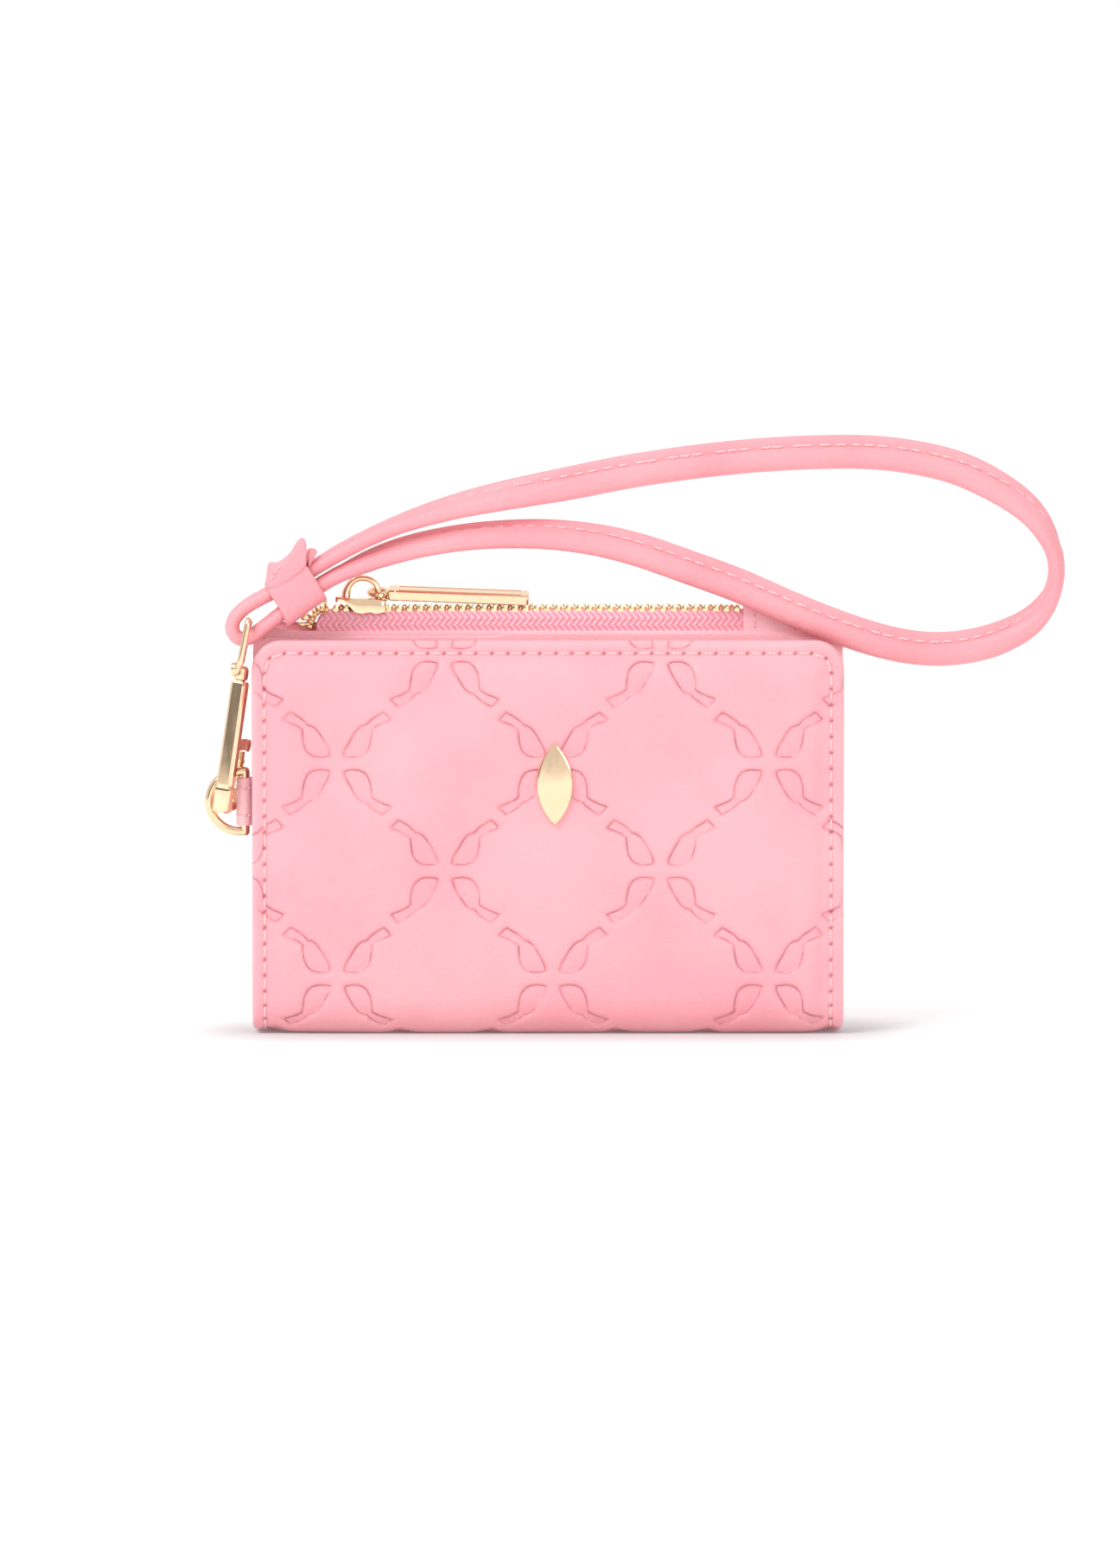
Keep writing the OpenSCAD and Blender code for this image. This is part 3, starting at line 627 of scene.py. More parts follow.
def make_shell(name, shell, pitch, holes):
    """The shell's mesh, with its motifs, needle holes that carry painted shade and worn edges that
    carry a painted highlight, as attributes.
    """
    edge_x = HALF_W - EDGE_ROUND * (1 - np.cos(np.radians([0, 22, 45, 67])))
    inner_x = np.arange(0, HALF_W - EDGE_ROUND, pitch)
    half = np.concatenate([inner_x, edge_x[::-1]])
    xs = np.concatenate([-half[:0:-1], half])
    rows_low = np.concatenate([np.linspace(shell.low, FOLD_H, int(17 / pitch))[:-1],
                               np.arange(FOLD_H, shell.top - 1.1, pitch)])
    share = (rows_low - FOLD_H) / (shell.top - FOLD_H)
    rings, marks, hole_shade_masks, wear_and_highlight_masks = [], [], [], []
    top_steps = EDGE_ROUND * (1 - np.cos(np.radians([67, 45, 22, 0])))
    for x in xs:
        high = float(shell.height(x))
        v = np.where(share > 0, FOLD_H + share * (high - FOLD_H), rows_low)
        v = np.concatenate([v[v < high - 1.1], high - top_steps])
        v = np.concatenate([v, np.full(len(rows_low) + 4 - len(v), high)])[:len(rows_low) + 4]
        xx = np.full(len(v), x)
        shaded_hole = holes_near(xx, v, holes)
        outer = shell.point(xx, v, -0.3 * shaded_hole)
        back_v = np.concatenate([high - np.array([0.0, 0.25, 0.8, 2.7, 3.3]),
                                 np.linspace(high - 8, 9.2, 6),
                                 [8.0, 6.0, 4.0, 2.0, 0.0, -2.2, -4.4, shell.low]])
        bx = np.full(len(back_v), x)
        y, z, ny, nz = shell.base(back_v)
        d = np.clip(shell.edge(bx, back_v), 0, 0.5)
        deep = shell.inner_depth(bx, back_v) - (0.5 - np.sqrt(0.25 - (0.5 - d) ** 2)) * (back_v > 9)
        deep = np.maximum(deep, shell.sunk(bx, back_v) + 0.35)
        back = np.stack([bx, shell.side * (y - ny * deep), z - nz * deep], -1)
        rings.append(np.concatenate([outer, back]))
        n = len(back)
        far = motif_distance(xx, v)
        marks.append(np.concatenate([far, np.full(n, 9.0)]))
        hole_shade_masks.append(np.concatenate([shaded_hole, np.zeros(n)]))
        # edge wear and a painted highlight in a band along the rounded edge; the inside faces take a
        # flat 0.2
        edge_wear_and_highlight = 0.28 * np.exp(-((shell.edge(xx, v) - 0.35) / 0.3) ** 2)
        wear_and_highlight_masks.append(np.concatenate([edge_wear_and_highlight, np.full(n, 0.2)]))
    points, faces = sweep(rings)
    size, across = len(rings[0]), len(rings[0]) - n
    faces = faces[:-2]
    for start in (0, (len(rings) - 1) * size):
        faces += zipped(points, list(range(start, start + across)),
                        list(range(start + size - 1, start + across - 1, -1)))
    values = [(k, np.concatenate(w).astype(np.float32)) for k, w in
              (("motif", marks), ("shaded_hole", hole_shade_masks), ("wear", wear_and_highlight_masks))]
    return bent(new_piece(name, points, faces, M["flap"], 55, values))


def shell_stitches(name, shell, holes):
    """A stitch between each pair of needle holes."""
    parts = []
    for a, b in zip(holes[:-1], holes[1:]):
        mid = (a + b) / 2
        step = b - a
        here = shell.point(*mid)
        along = unit(shell.point(*(mid + step * 0.3)) - shell.point(*(mid - step * 0.3)))
        side = np.array([-step[1], step[0]]) / np.linalg.norm(step) * 0.3
        across = shell.point(*(mid + side)) - shell.point(*(mid - side))
        outward = unit(np.cross(along, across))
        outward *= np.sign(outward[1] * shell.side + 1e-9) if abs(outward[1]) > 0.2 else 1
        parts.append(stitch(here, along, outward, STITCH_PITCH * 0.74))
    return bent(new_piece(name, *joined(parts), M["thread"]))


SHELL_PITCH = 0.42
FLAP = Shell(-1, FLAP_TOP, FLAP_CORNER, 1.7, 4.55, 1.9)
BACK = Shell(1, BACK_TOP, BACK_CORNER, 0.5, 1.45, 2.5)

flap_holes = stitch_path(FLAP, 2.6, -1.0, 3.6)
flap = make_shell("flap_leather", FLAP, SHELL_PITCH, flap_holes)
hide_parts("flap_outer_panel", "fold_spine")
flap_thread = shell_stitches("flap_stitches", FLAP, flap_holes)
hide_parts("flap_stitching")

back_holes = stitch_path(BACK, 2.5, 4.0, 1.5)
back = make_shell("back_leather", BACK, SHELL_PITCH, back_holes)
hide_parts("back_outer_panel")
back_thread = shell_stitches("back_stitches", BACK, back_holes)
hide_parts("back_stitching")


# ---------------------------------------------------------------- layers inside the shells


def columns(x0, x1, pitch, radius):
    """Stations across a panel, close together where its edge is rounded."""
    steps = radius * (1 - np.cos(np.radians([0, 25, 50, 75])))
    middle = np.linspace(x0 + radius, x1 - radius, max(3, int((x1 - x0) / pitch)))
    return np.concatenate([x0 + steps, middle, (x1 - steps)[::-1]])


def panel(name, half_w, z0, top, corner, y0, y1, look, slot, body, *nodes):
    """A thin sheet that faces the front, with rounded edges and upper corners."""
    x0, x1, pitch = -half_w, half_w, 3.0
    radius = (y1 - y0) * 0.45
    top_at = top if callable(top) else (lambda x: top)
    rings = []
    rows = None
    for x in columns(x0, x1, pitch, radius):
        in_corner = np.clip(max(x0 + corner - x, x - x1 + corner), 0, corner)
        high = top_at(x) - corner + math.sqrt(corner ** 2 - in_corner ** 2)
        rows = rows or max(4, int((high - z0) / pitch))
        steps = radius * (1 - np.cos(np.radians([0, 25, 50, 75])))
        z = np.concatenate([z0 + steps, np.linspace(z0 + radius, high - radius, rows),
                            (high - steps)[::-1]])
        sides = np.minimum(x - x0, x1 - x)
        d = np.minimum(np.minimum(z - z0, high - z), sides)
        inset = radius - np.sqrt(np.maximum(radius ** 2 - np.maximum(radius - d, 0) ** 2, 0))
        ring = [np.stack([y0 + inset, z], -1), np.stack([y1 - inset, z], -1)[::-1]]
        rings.append(level(np.concatenate(ring), x))
    return finished(name, sweep(rings, folded=True), look, slot, body, *nodes, sharp=60)


def folded_sheet(name, line, top, corner):
    """Lining that runs from the middle of the fold up a panel: line holds (y, z) stations."""
    line = smooth_line(line, 5)
    rings = []
    for x in columns(-LINING_HALF, LINING_HALF, 4.0, 0.2):
        in_corner = max(0.0, abs(x) - LINING_HALF + corner)
        high = top - corner + math.sqrt(max(corner ** 2 - in_corner ** 2, 0))
        ripple = 0.05 * np.sin(x / 6 + line[:, 1] / 9)
        ring = two_sided(line, LINING / 2)
        ring[:, 0] += np.concatenate([ripple, ripple[::-1]])
        ring[:, 1] = np.minimum(ring[:, 1], high)
        rings.append(level(ring, x))
    return bent(new_piece(name, *sweep(rings, folded=True), M["lining"], 50))


def stitch_row(a, b, outward, length, pitch, radius):
    """Evenly spaced stitches from a to b."""
    a, b = np.array(a, float), np.array(b, float)
    count = max(1, int(round(np.linalg.norm(b - a) / pitch)))
    along = unit(b - a)
    return [stitch(a + (b - a) * (i + 0.5) / count, along, np.array(outward, float), length, radius)
            for i in range(count)]


FOAM_HALF, FOAM_LOW, FOAM_TOP = 56.6, 9.0, 76.6


def make_flap_foam():
    """Foam pad under the flap's leather, crowned, with its edges inside the stitching."""
    rings = []
    for x in columns(-FOAM_HALF, FOAM_HALF, 2.5, 0.6):
        v = columns(FOAM_LOW, FOAM_TOP, 2.5, 0.6)
        side = np.minimum(FOAM_HALF - abs(x), np.minimum(v - FOAM_LOW, FOAM_TOP - v))
        edge = 0.4 * (1 - ramp(side, 0, 0.6))
        front = -(HALF_D - FLAP.sunk(np.full(len(v), x), v) - LEATHER - 0.5 - edge)
        back = np.full(len(v), -5.25) - edge * 0.3
        ring = np.concatenate([np.stack([front, v], -1), np.stack([back, v], -1)[::-1]])
        rings.append(level(ring, x))
    obj = finished("flap_foam", sweep(rings, folded=True), "foam", "padding", "flap", "flap_padding",
                   sharp=60)


def make_layers():
    """Linings, card slots, and the leather of the coin pocket's front and the slip pocket."""
    front_line = [(0, 1.9), (-2.2, 1.9), (-4.0, 2.1), (-5.5, 3.2), (-6.2, 5.0), (-6.3, 7.0),
                  (-5.9, 8.6), (-4.9, 10.2), (-4.36, 12.5), (-4.36, 30), (-4.36, 55), (-4.36, 79.5)]
    sheet = folded_sheet("flap_lining_cloth", front_line, 79.5, 5.6)
    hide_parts("flap_lining", "fold_lining")
    back_line = [(0, 1.9), (2.2, 1.9), (4.1, 2.0), (5.8, 3.1), (6.8, 5.0), (6.8, 7.0),
                 (5.6, 8.2), (3.4, 8.5), (2.0, 8.9), (1.66, 10.2)]
    sheet = folded_sheet("fold_lining_cloth", back_line, 99, 0.5)

    rows = []
    for i, (top, y) in enumerate(((74.0, -4.1), (66.0, -3.6), (58.0, -3.1))):
        panel(f"card_slot_leather_{i + 1}", 57, 8.9, top, 1.5, y, y + 0.48, "leather", "lining",
              "flap", f"card_slot_{i + 1}")
        rows += stitch_row((-54.5, y + 0.5, top - 1.6), (54.5, y + 0.5, top - 1.6), (0, 1, 0),
                           1.9, 2.6, 0.16)
    finished("card_slot_stitches", joined(rows), "thread", "thread", "flap")

    def ear(x):
        return 81.5 + 0.7 * (1 - ramp(x, -54.5, -52.5))

    panel("pocket_front_leather", HALF_W, 8.9, ear, BACK_CORNER, 1.9, 2.9, "inner", "leather",
          "back_half", "pocket_front_panel")

    def rise(x):
        return 80.3 + 0.7 * ramp(x, -10.5, -9.0) * (1 - ramp(x, 49.0, 50.5))

    panel("slip_pocket_leather", HALF_W, 10.0, rise, 2.6, 1.42, 1.88, "inner", "lining",
          "back_half", "slip_pocket")
    rows = stitch_row((-57.9, 1.86, 77.2), (-57.9, 1.86, 82.0), (0, -1, 0), 2.3, 3.0, 0.26)
    rows += stitch_row((-56, 1.42, 78.7), (56, 1.42, 78.7), (0, -1, 0), 1.9, 2.6, 0.16)
    finished("pocket_stitches", joined(rows), "thread", "thread", "back_half")


def make_coin_pocket():
    """Cloth of the coin pocket: a rear wall with pleated sides, and a front wall."""
    rings = []
    for z in columns(9.1, 81.6, 2.5, 0.2):
        apex = 57.0 - 3.6 * float(ramp(z, 30, 80))
        right = [(30, 7.0), (48, 7.0), (50.2, 7.0), (51.4, 7.0), (56, 6.98), (58.9, 6.85),
                 (59.45, 6.5), (58.6, 6.05), (apex, 5.1), (58.6, 4.15), (59.5, 3.75), (59.3, 3.5)]
        line = smooth_line([(-x, y) for x, y in right[::-1]] + [(0, 7.0)] + right, 3)
        ring = two_sided(line, 0.17)
        side = np.tile(np.abs(line[:, 0]), 2)
        side[len(line):] = side[len(line):][::-1]
        share = 1 - (1 - ramp(side, 50.0, 51.6)) * 5.4 / 72.5
        rings.append(np.column_stack([ring, 9.1 + (z - 9.1) * share]))
    obj = finished("coin_pocket_cloth_rear", sweep(rings, folded=True), "lining", "lining",
                   "back_half", "coin_pocket_lining_rear", sharp=60)
    obj = panel("coin_pocket_cloth_front", 59.2, 9.0, 76.0, 0.5, 2.94, 3.36, "lining", "lining",
                "back_half", "coin_pocket_lining_front")
    panel("back_edge_binding", 59.3, 79.6, 81.5, 1.0, 7.3, 7.85, "leather", "lining", "back_half")


def make_pocket_corners():
    """Leather folded in over the coin pocket, between its pleats and the zip's two ends."""
    y = np.linspace(2.98, 7.24, 13)
    sag = 79.3 - 0.8 * np.sin(np.pi * (y - y[0]) / (y[-1] - y[0]))
    pleat = np.minimum(58.4, 53.7 + 5.5 * np.abs(y - 5.1))
    parts = []
    for sign, end in ((-1, 47.4), (1, 50.1)):
        rings = []
        for share in np.linspace(0, 1, 7):
            upper = np.stack([sign * (pleat + (end - pleat) * share), y, sag], -1)
            rings.append(np.concatenate([upper, (upper - [0, 0, 0.4])[::-1]]))
        parts.append(sweep(rings, folded=True))
    corners = ((-47.2, -1), (-47.2, 1), (-46.9, 1), (-46.9, -1))
    parts.append(sweep([[(x, 5.05 + side * half, z) for x, side in corners]
                        for z, half in ((76.4, 1.7), (78.0, 1.72), (80.6, 1.7), (81.4, 1.5),
                                        (82.3, 1.0))]))
    finished("pocket_corner_leather", joined(parts), "inner", "leather", "back_half", sharp=60)


make_flap_foam()
make_layers()
make_coin_pocket()
make_pocket_corners()


# ---------------------------------------------------------------- zip

ZIP_Y = 5.05
ZIP_LEFT, ZIP_RIGHT = -47.2, 44.0
TOOTH_PITCH = 2.15
TAPE_LINE = [(1.95, 76.2), (1.98, 79.0), (2.05, 82.0), (1.95, 84.2), (1.55, 85.2), (0.9, 85.55),
             (0.2, 85.6)]


def tape_top(x):
    """How far the tape's upper edge drops at its turned-down left end."""
    t = np.clip((-43.6 - x) / 3.6, 0, 1)
    return 3.3 * (1 - np.sqrt(1 - t * t * 0.98))


def make_tape(name, node, side):
    """Woven tape that stands up from the pocket and turns over under the teeth."""
    ring = two_sided(smooth_line(TAPE_LINE, 4), -0.22)
    rings = []
    for x in np.concatenate([np.linspace(ZIP_LEFT, -43.0, 10), np.linspace(-42.0, ZIP_RIGHT, 60)]):
        share = (ring[:, 1] - 76.2) / (85.6 - 76.2)
        z = ring[:, 1] - share * tape_top(x)
        y = ring[:, 0] + 0.07 * np.sin(x / 4.1) * share
        rings.append(level(np.stack([ZIP_Y + side * y, z], -1), x))
    finished(name, sweep(rings, folded=True), "tape", "zip_tape", "back_half", node, sharp=60)


def tooth(root, tip, wide, up):
    """A stamped tooth: a clamp at the root, a neck, and a rounded head at the tip."""
    root, tip, up = np.array(root, float), np.array(tip, float), np.array(up, float)
    along = tip - root
    side = unit(np.cross(along, up))
    up = unit(np.cross(side, along))
    shape = [(0.0, 0.55, 0.55), (0.06, 0.9, 0.92), (0.34, 0.95, 1.0), (0.46, 0.55, 0.8),
             (0.62, 0.5, 0.74), (0.74, 0.82, 0.86), (0.9, 0.85, 0.82), (1.0, 0.4, 0.45)]
    a = np.radians(np.arange(8) * 45 + 22.5)
    cross = np.stack([np.cos(a), np.sin(a)], -1) * 1.08
    rings = [root + along * t + side * (cross[:, :1] * wide * w) + up * (cross[:, 1:] * h)
             for t, w, h in shape]
    return sweep(rings)


def make_teeth(name, node, side):
    """One tape's row of teeth, with a fan of them down its turned-down left end."""
    parts = []
    shift = 0 if side < 0 else TOOTH_PITCH / 2
    for x in np.arange(-43.2 + shift, 38.8, TOOTH_PITCH):
        parts.append(tooth((x, ZIP_Y + side * 1.75, 85.75), (x, ZIP_Y - side * 0.45, 85.85), 0.6,
                           (0, 0, 1)))
    if side < 0:
        fan = [((-45.0, 85.2), (-45.6, 88.0)), ((-46.5, 84.8), (-47.9, 87.3)),
               ((-47.4, 83.6), (-49.8, 85.4)), ((-47.8, 82.2), (-50.7, 82.9))]
    else:
        fan = [((-45.9, 85.0), (-46.9, 87.6)), ((-47.0, 84.2), (-49.0, 86.4)),
               ((-47.7, 82.9), (-50.4, 84.2))]
    for root, tip in fan:
        y = ZIP_Y + side * 1.7
        parts.append(tooth((root[0], y, root[1]), (tip[0], y - side * 0.3, tip[1]), 0.62, (0, 1, 0)))
    finished(name, joined(parts), "gold_soft", "gold", "back_half", node, sharp=50)


def make_end_tab():
    """Leather folded over the zip's right end, with a wall that closes it below."""
    half, low, high = 2.45, 39.7, 50.0
    left = [(-half, 80.9), (-half, 84.2), (-half + 0.1, 85.6), (-half + 0.6, 86.4),
            (-half + 1.4, 86.62)]
    line = smooth_line(left + [(0, 86.66)] + [(-y, z) for y, z in left[::-1]], 4)
    rings = []
    for x in columns(low, high, 1.5, 0.25):
        edge = min(x - low, high - x)
        thick = 0.3 * math.sqrt(max(0.02, 1 - max(0.25 - edge, 0) ** 2 / 0.25 ** 2))
        rings.append(level(two_sided(line, thick) + [ZIP_Y, 0], x))
    corners = ((49.3, -1), (49.3, 1), (49.7, 1), (49.7, -1))
    wall = [[(x, ZIP_Y + side * 2.05, z) for x, side in corners]
            for z in (74.0, 74.2, 80.0, 86.2, 86.4)]
    finished("zip_end_leather", joined([sweep(rings, folded=True), sweep(wall)]), "tab", "leather",
             "back_half", "zip_end_tab", sharp=60)
    rows = []
    for side in (-1, 1):
        y = ZIP_Y + side * (half + 0.3)
        rows += stitch_row((42.1, y, 81.6), (42.1, y, 86.2), (0, side, 0), 1.7, 2.3, 0.2)
    finished("zip_end_stitches", joined(rows), "thread", "thread", "back_half")


def make_slider():
    """Slider's cap over the teeth, its arch for the puller and a nub behind the arch."""
    rings = []
    for x in np.concatenate([[-43.2, -43.0], np.linspace(-42.6, -33.6, 19), [-33.2, -33.0]]):
        end = 1 - 0.12 * (ramp(-x, 42.7, 43.2) + ramp(x, -33.4, -33.0))
        w = (3.15 - 0.35 * ramp(x, -41, -36)) * end
        nose = ramp(-x, 39.6, 43.2)
        top = 88.0 + 0.45 * nose - 0.25 * ramp(x, -36, -33)
        low = 84.95 + 2.2 * ramp(-x, 39.0, 41.2) + 0.28 * (0.5 + 0.5 * math.cos((x + 36.4) * 2.1))
        low = min(low, top - 0.75)
        inner_top = max(min(top - 0.7, 87.3), low + 0.02)
        inner = w - 0.65
        side = [(-w, low), (-w - 0.05, (low + top) / 2), (-w, top - 0.5), (-w + 0.15, top - 0.15),
                (-w + 0.5, top), (-w * 0.5, top + 0.06), (0, top + 0.08)]
        ring = side + [(-y, z) for y, z in side[-2::-1]]
        ring += [(inner, low), (inner, inner_top), (0, inner_top), (-inner, inner_top), (-inner, low)]
        rings.append(level(np.array(ring) + [ZIP_Y, 0], x))
    parts = [sweep(rings)]
    arch = smooth_line([(-41.15, 87.7), (-41.0, 89.4), (-40.2, 91.0), (-38.6, 92.0), (-36.6, 91.9),
                        (-35.1, 90.9), (-34.5, 89.4), (-34.6, 87.7)], 5)
    arch = np.column_stack([arch[:, 0], np.full(len(arch), ZIP_Y), arch[:, 1]])
    size = np.interp(np.linspace(0, 1, len(arch)), [0, 0.12, 0.25, 0.5, 0.8, 1],
                     [1.05, 0.95, 0.7, 0.64, 0.6, 0.78])
    parts.append(tube(arch, size))
    nub = smooth_line([(-34.0, ZIP_Y, 87.75), (-33.2, ZIP_Y, 87.9), (-32.7, ZIP_Y, 87.65)], 4)
    parts.append(tube(nub, np.linspace(0.68, 0.35, len(nub)), 10))
    finished("slider_gold", joined(parts), "gold", "gold", "slider", "zip_slider", sharp=38)


def rounded_bar(length, half_y, half_z, chamfer, ends=0.5, steps=3):
    """A bar along +X from 0 with chamfered edges and ends."""
    stations = [(0, 1 - ends / half_y * 0.5), (ends * 0.4, 0.97), (ends, 1)]
    stations += [(length * k / steps, 1) for k in range(1, steps)]
    stations += [(length - ends, 1), (length - ends * 0.4, 0.97), (length, 1 - ends / half_y * 0.5)]
    rings = []
    for x, k in stations:
        y, z, c = half_y * k, half_z * k, chamfer
        ring = [(-y + c, -z), (y - c, -z), (y, -z + c), (y, z - c), (y - c, z), (-y + c, z),
                (-y, z - c), (-y, -z + c)]
        rings.append([(x, a, b) for a, b in ring])
    return sweep(rings)


def make_puller():
    """Bar pull on a round eye. Its faces carry a plain sunken border and no lettering."""
    turn, roll = math.radians(2.2), math.radians(14)
    origin = np.array([-34.5, ZIP_Y, 89.15])
    parts = []
    a = np.linspace(0, 2 * math.pi, 25)[:-1]
    ring = np.stack([1.9 * np.cos(a), 1.9 * np.sin(a), 0 * a], -1)
    parts.append(tube(ring, 0.6, 10, closed=True, up=(0, 0, 1)))
    bar, faces = rounded_bar(28.6, 2.1, 1.08, 0.28)
    bar = bar + [2.0, 0, 0]
    parts.append((bar, faces))
    for sign in (-1, 1):
        border = [(4.2, -1.35), (29.0, -1.35), (29.0, 1.35), (4.2, 1.35)]
        line = np.array([(x, y, sign * 1.09) for x, y in border])
        fine = np.concatenate([np.linspace(line[k], line[(k + 1) % 4], 12)[:-1] for k in range(4)])
        parts.append(tube(fine, 0.11, 6, closed=True, up=(0, 0, 1)))
    band = [(3.4, -2.05, 0.9), (3.4, -2.2, 1.15), (3.4, 0, 1.2), (3.4, 2.2, 1.15), (3.4, 2.05, 0.9)]
    parts.append(tube(band, 0.22, 8, up=(1, 0, 0)))
    points, faces = joined(parts)
    c, s = math.cos(roll), math.sin(roll)
    points = np.stack([points[:, 0], points[:, 1] * c - points[:, 2] * s,
                       points[:, 1] * s + points[:, 2] * c], -1)
    c, s = math.cos(turn), math.sin(turn)
    points = np.stack([points[:, 0] * c + points[:, 2] * s, points[:, 1],
                       -points[:, 0] * s + points[:, 2] * c], -1) + origin
    finished("puller_gold", (points, faces), "gold", "gold", "puller", "zip_puller", sharp=32)


for which, side in (("front", -1), ("rear", 1)):
    make_tape(f"zip_tape_{which}_weave", f"zip_tape_{which}", side)
for which, side in (("front", -1), ("rear", 1)):
    make_teeth(f"zip_teeth_{which}_gold", f"zip_teeth_{which}", side)
make_end_tab()
make_slider()
make_puller()


# ---------------------------------------------------------------- emblem


def make_emblem():
    """A plain pointed-oval stud with a bevelled rim and a low ridge down its middle."""
    half_l, half_w, mid_x, mid_z = 8.4, 3.6, 1.4, 51
    r = (half_l ** 2 + half_w ** 2) / (2 * half_w)
    reach = math.asin(half_l / r)
    t = np.linspace(-reach, reach, 25)
    right = np.stack([r * np.cos(t) - r + half_w, r * np.sin(t)], -1)
    outline = np.concatenate([right, -right[1:-1]])
    rings = []
    for y, k in ((-8.9, 0.97), (-9.2, 1.0), (-9.78, 1.0), (-9.93, 0.975), (-10.0, 0.92),
                 (-10.02, 0.86), (-10.12, 0.55), (-10.2, 0.25), (-10.22, 0.06)):
        ring = outline * k
        rings.append(np.stack([mid_x + ring[:, 0], np.full(len(ring), y), mid_z + ring[:, 1]], -1))
    parts = [sweep(rings)]
    for z in (mid_z - 4, mid_z + 4):
        prong = [(mid_x, y, z) for y in (-9.0, -7.6, -7.05)]
        parts.append(tube(prong, 0.48, 10, up=(0, 0, 1)))
    finished("emblem_gold", joined(parts), "gold", "gold", "flap", "emblem", sharp=28)


make_emblem()


# ---------------------------------------------------------------- clasp

HOOK_AT = np.array([-66.3, -3.6, 44.8])
HOOK_AXES = np.array([[0.3384, 0.9397, -0.0494], [-0.9298, 0.3420, 0.1357], [0.1444, 0.0, 0.9895]])
GATE_X = 6.6
PIN_Z = 13.9


def in_hook(points):
    """From the hook's own axes to the wallet's."""
    return HOOK_AT + np.asarray(points, float) @ HOOK_AXES


def chamfered(half_x, half_y, cut):
    """A rectangle's outline with its corners cut off."""
    return np.array([(-half_x + cut, -half_y), (half_x - cut, -half_y), (half_x, -half_y + cut),
                     (half_x, half_y - cut), (half_x - cut, half_y), (-half_x + cut, half_y),
                     (-half_x, half_y - cut), (-half_x, -half_y + cut)])


def lathe(profile, sides=20, centre=(0, 0)):
    """A turned shape from (radius, z) pairs."""
    a = np.arange(sides) * 2 * math.pi / sides
    rings = [np.stack([centre[0] + r * np.cos(a), centre[1] + r * np.sin(a), np.full(sides, z)], -1)
             for r, z in profile]
    return sweep(rings)


def collar(profile, sides, y):
    """A turned ring round the gate's pin."""
    points, faces = lathe(profile, sides)
    return points[:, [0, 2, 1]] + [GATE_X, y, PIN_Z], faces


def make_hook():
    """Snap hook with its spine, jaw and the gate's knuckles, and the sprung gate."""
    stations = [(0.0, 0.78, 0.5), (0.25, 0.9, 0.42), (0.6, 0.96, 0.34), (1.0, 0.975, 0.34),
                (4.6, 1.06, 0.34), (4.9, 1.065, 0.34), (5.15, 1.02, 0.34), (5.25, 0.93, 0.34),
                (5.45, 0.93, 0.34), (5.6, 0.99, 0.62), (5.9, 1.0, 0.62), (15.0, 0.99, 0.62),
                (26.0, 0.98, 0.62), (26.4, 0.965, 0.62), (26.8, 0.93, 0.6), (27.0, 0.85, 0.55)]
    rings = []
    for z, k, cut in stations:
        ring = chamfered(1.42 * k, 1.7 * k, cut)
        rings.append(np.column_stack([ring, np.full(8, z)]))
    parts = [sweep(rings)]
    jaw = smooth_line([(0.6, 0, 1.15), (2.6, 0, 1.0), (4.6, 0, 1.0), (6.0, 0, 1.35), (6.6, 0, 2.5),
                       (6.65, 0, 3.8), (6.6, 0, 4.95)], 5)
    size = np.interp(np.linspace(0, 1, len(jaw)), [0, 0.5, 0.9, 1], [1.1, 1.0, 0.95, 0.8])
    parts.append(tube(jaw, size, 14))
    arm, faces = rounded_bar(6.0, 1.2, 1.3, 0.4, 0.4)
    parts.append((arm + [1.25, 0, PIN_Z], faces))
    for y in (-1.15, 1.15):
        parts.append(collar([(1.15, -0.16), (1.3, -0.1), (1.3, 0.1), (1.15, 0.16)], 18, y))
    points, faces = joined(parts)
    finished("hook_gold", (in_hook(points), faces), "gold", "gold", "hook", "hook_body", sharp=30)

    profile = [(0.45, 5.35), (0.72, 5.5), (0.8, 5.9), (0.62, 6.2), (0.78, 6.6), (0.6, 6.95),
               (0.74, 7.4), (0.7, 8.6), (0.62, 9.8), (0.72, 10.2), (0.84, 10.5), (0.66, 10.9),
               (0.6, 11.8), (0.62, 12.6), (0.5, 12.9)]
    parts = [lathe(profile, 16, (GATE_X, 0))]
    parts.append(collar([(0.85, -0.5), (1.02, -0.42), (1.08, 0), (1.02, 0.42), (0.85, 0.5)], 20, 0))
    points, faces = joined(parts)
    finished("gate_gold", (in_hook(points), faces), "gold_soft", "gold", "gate", "hook_gate",
             sharp=40)


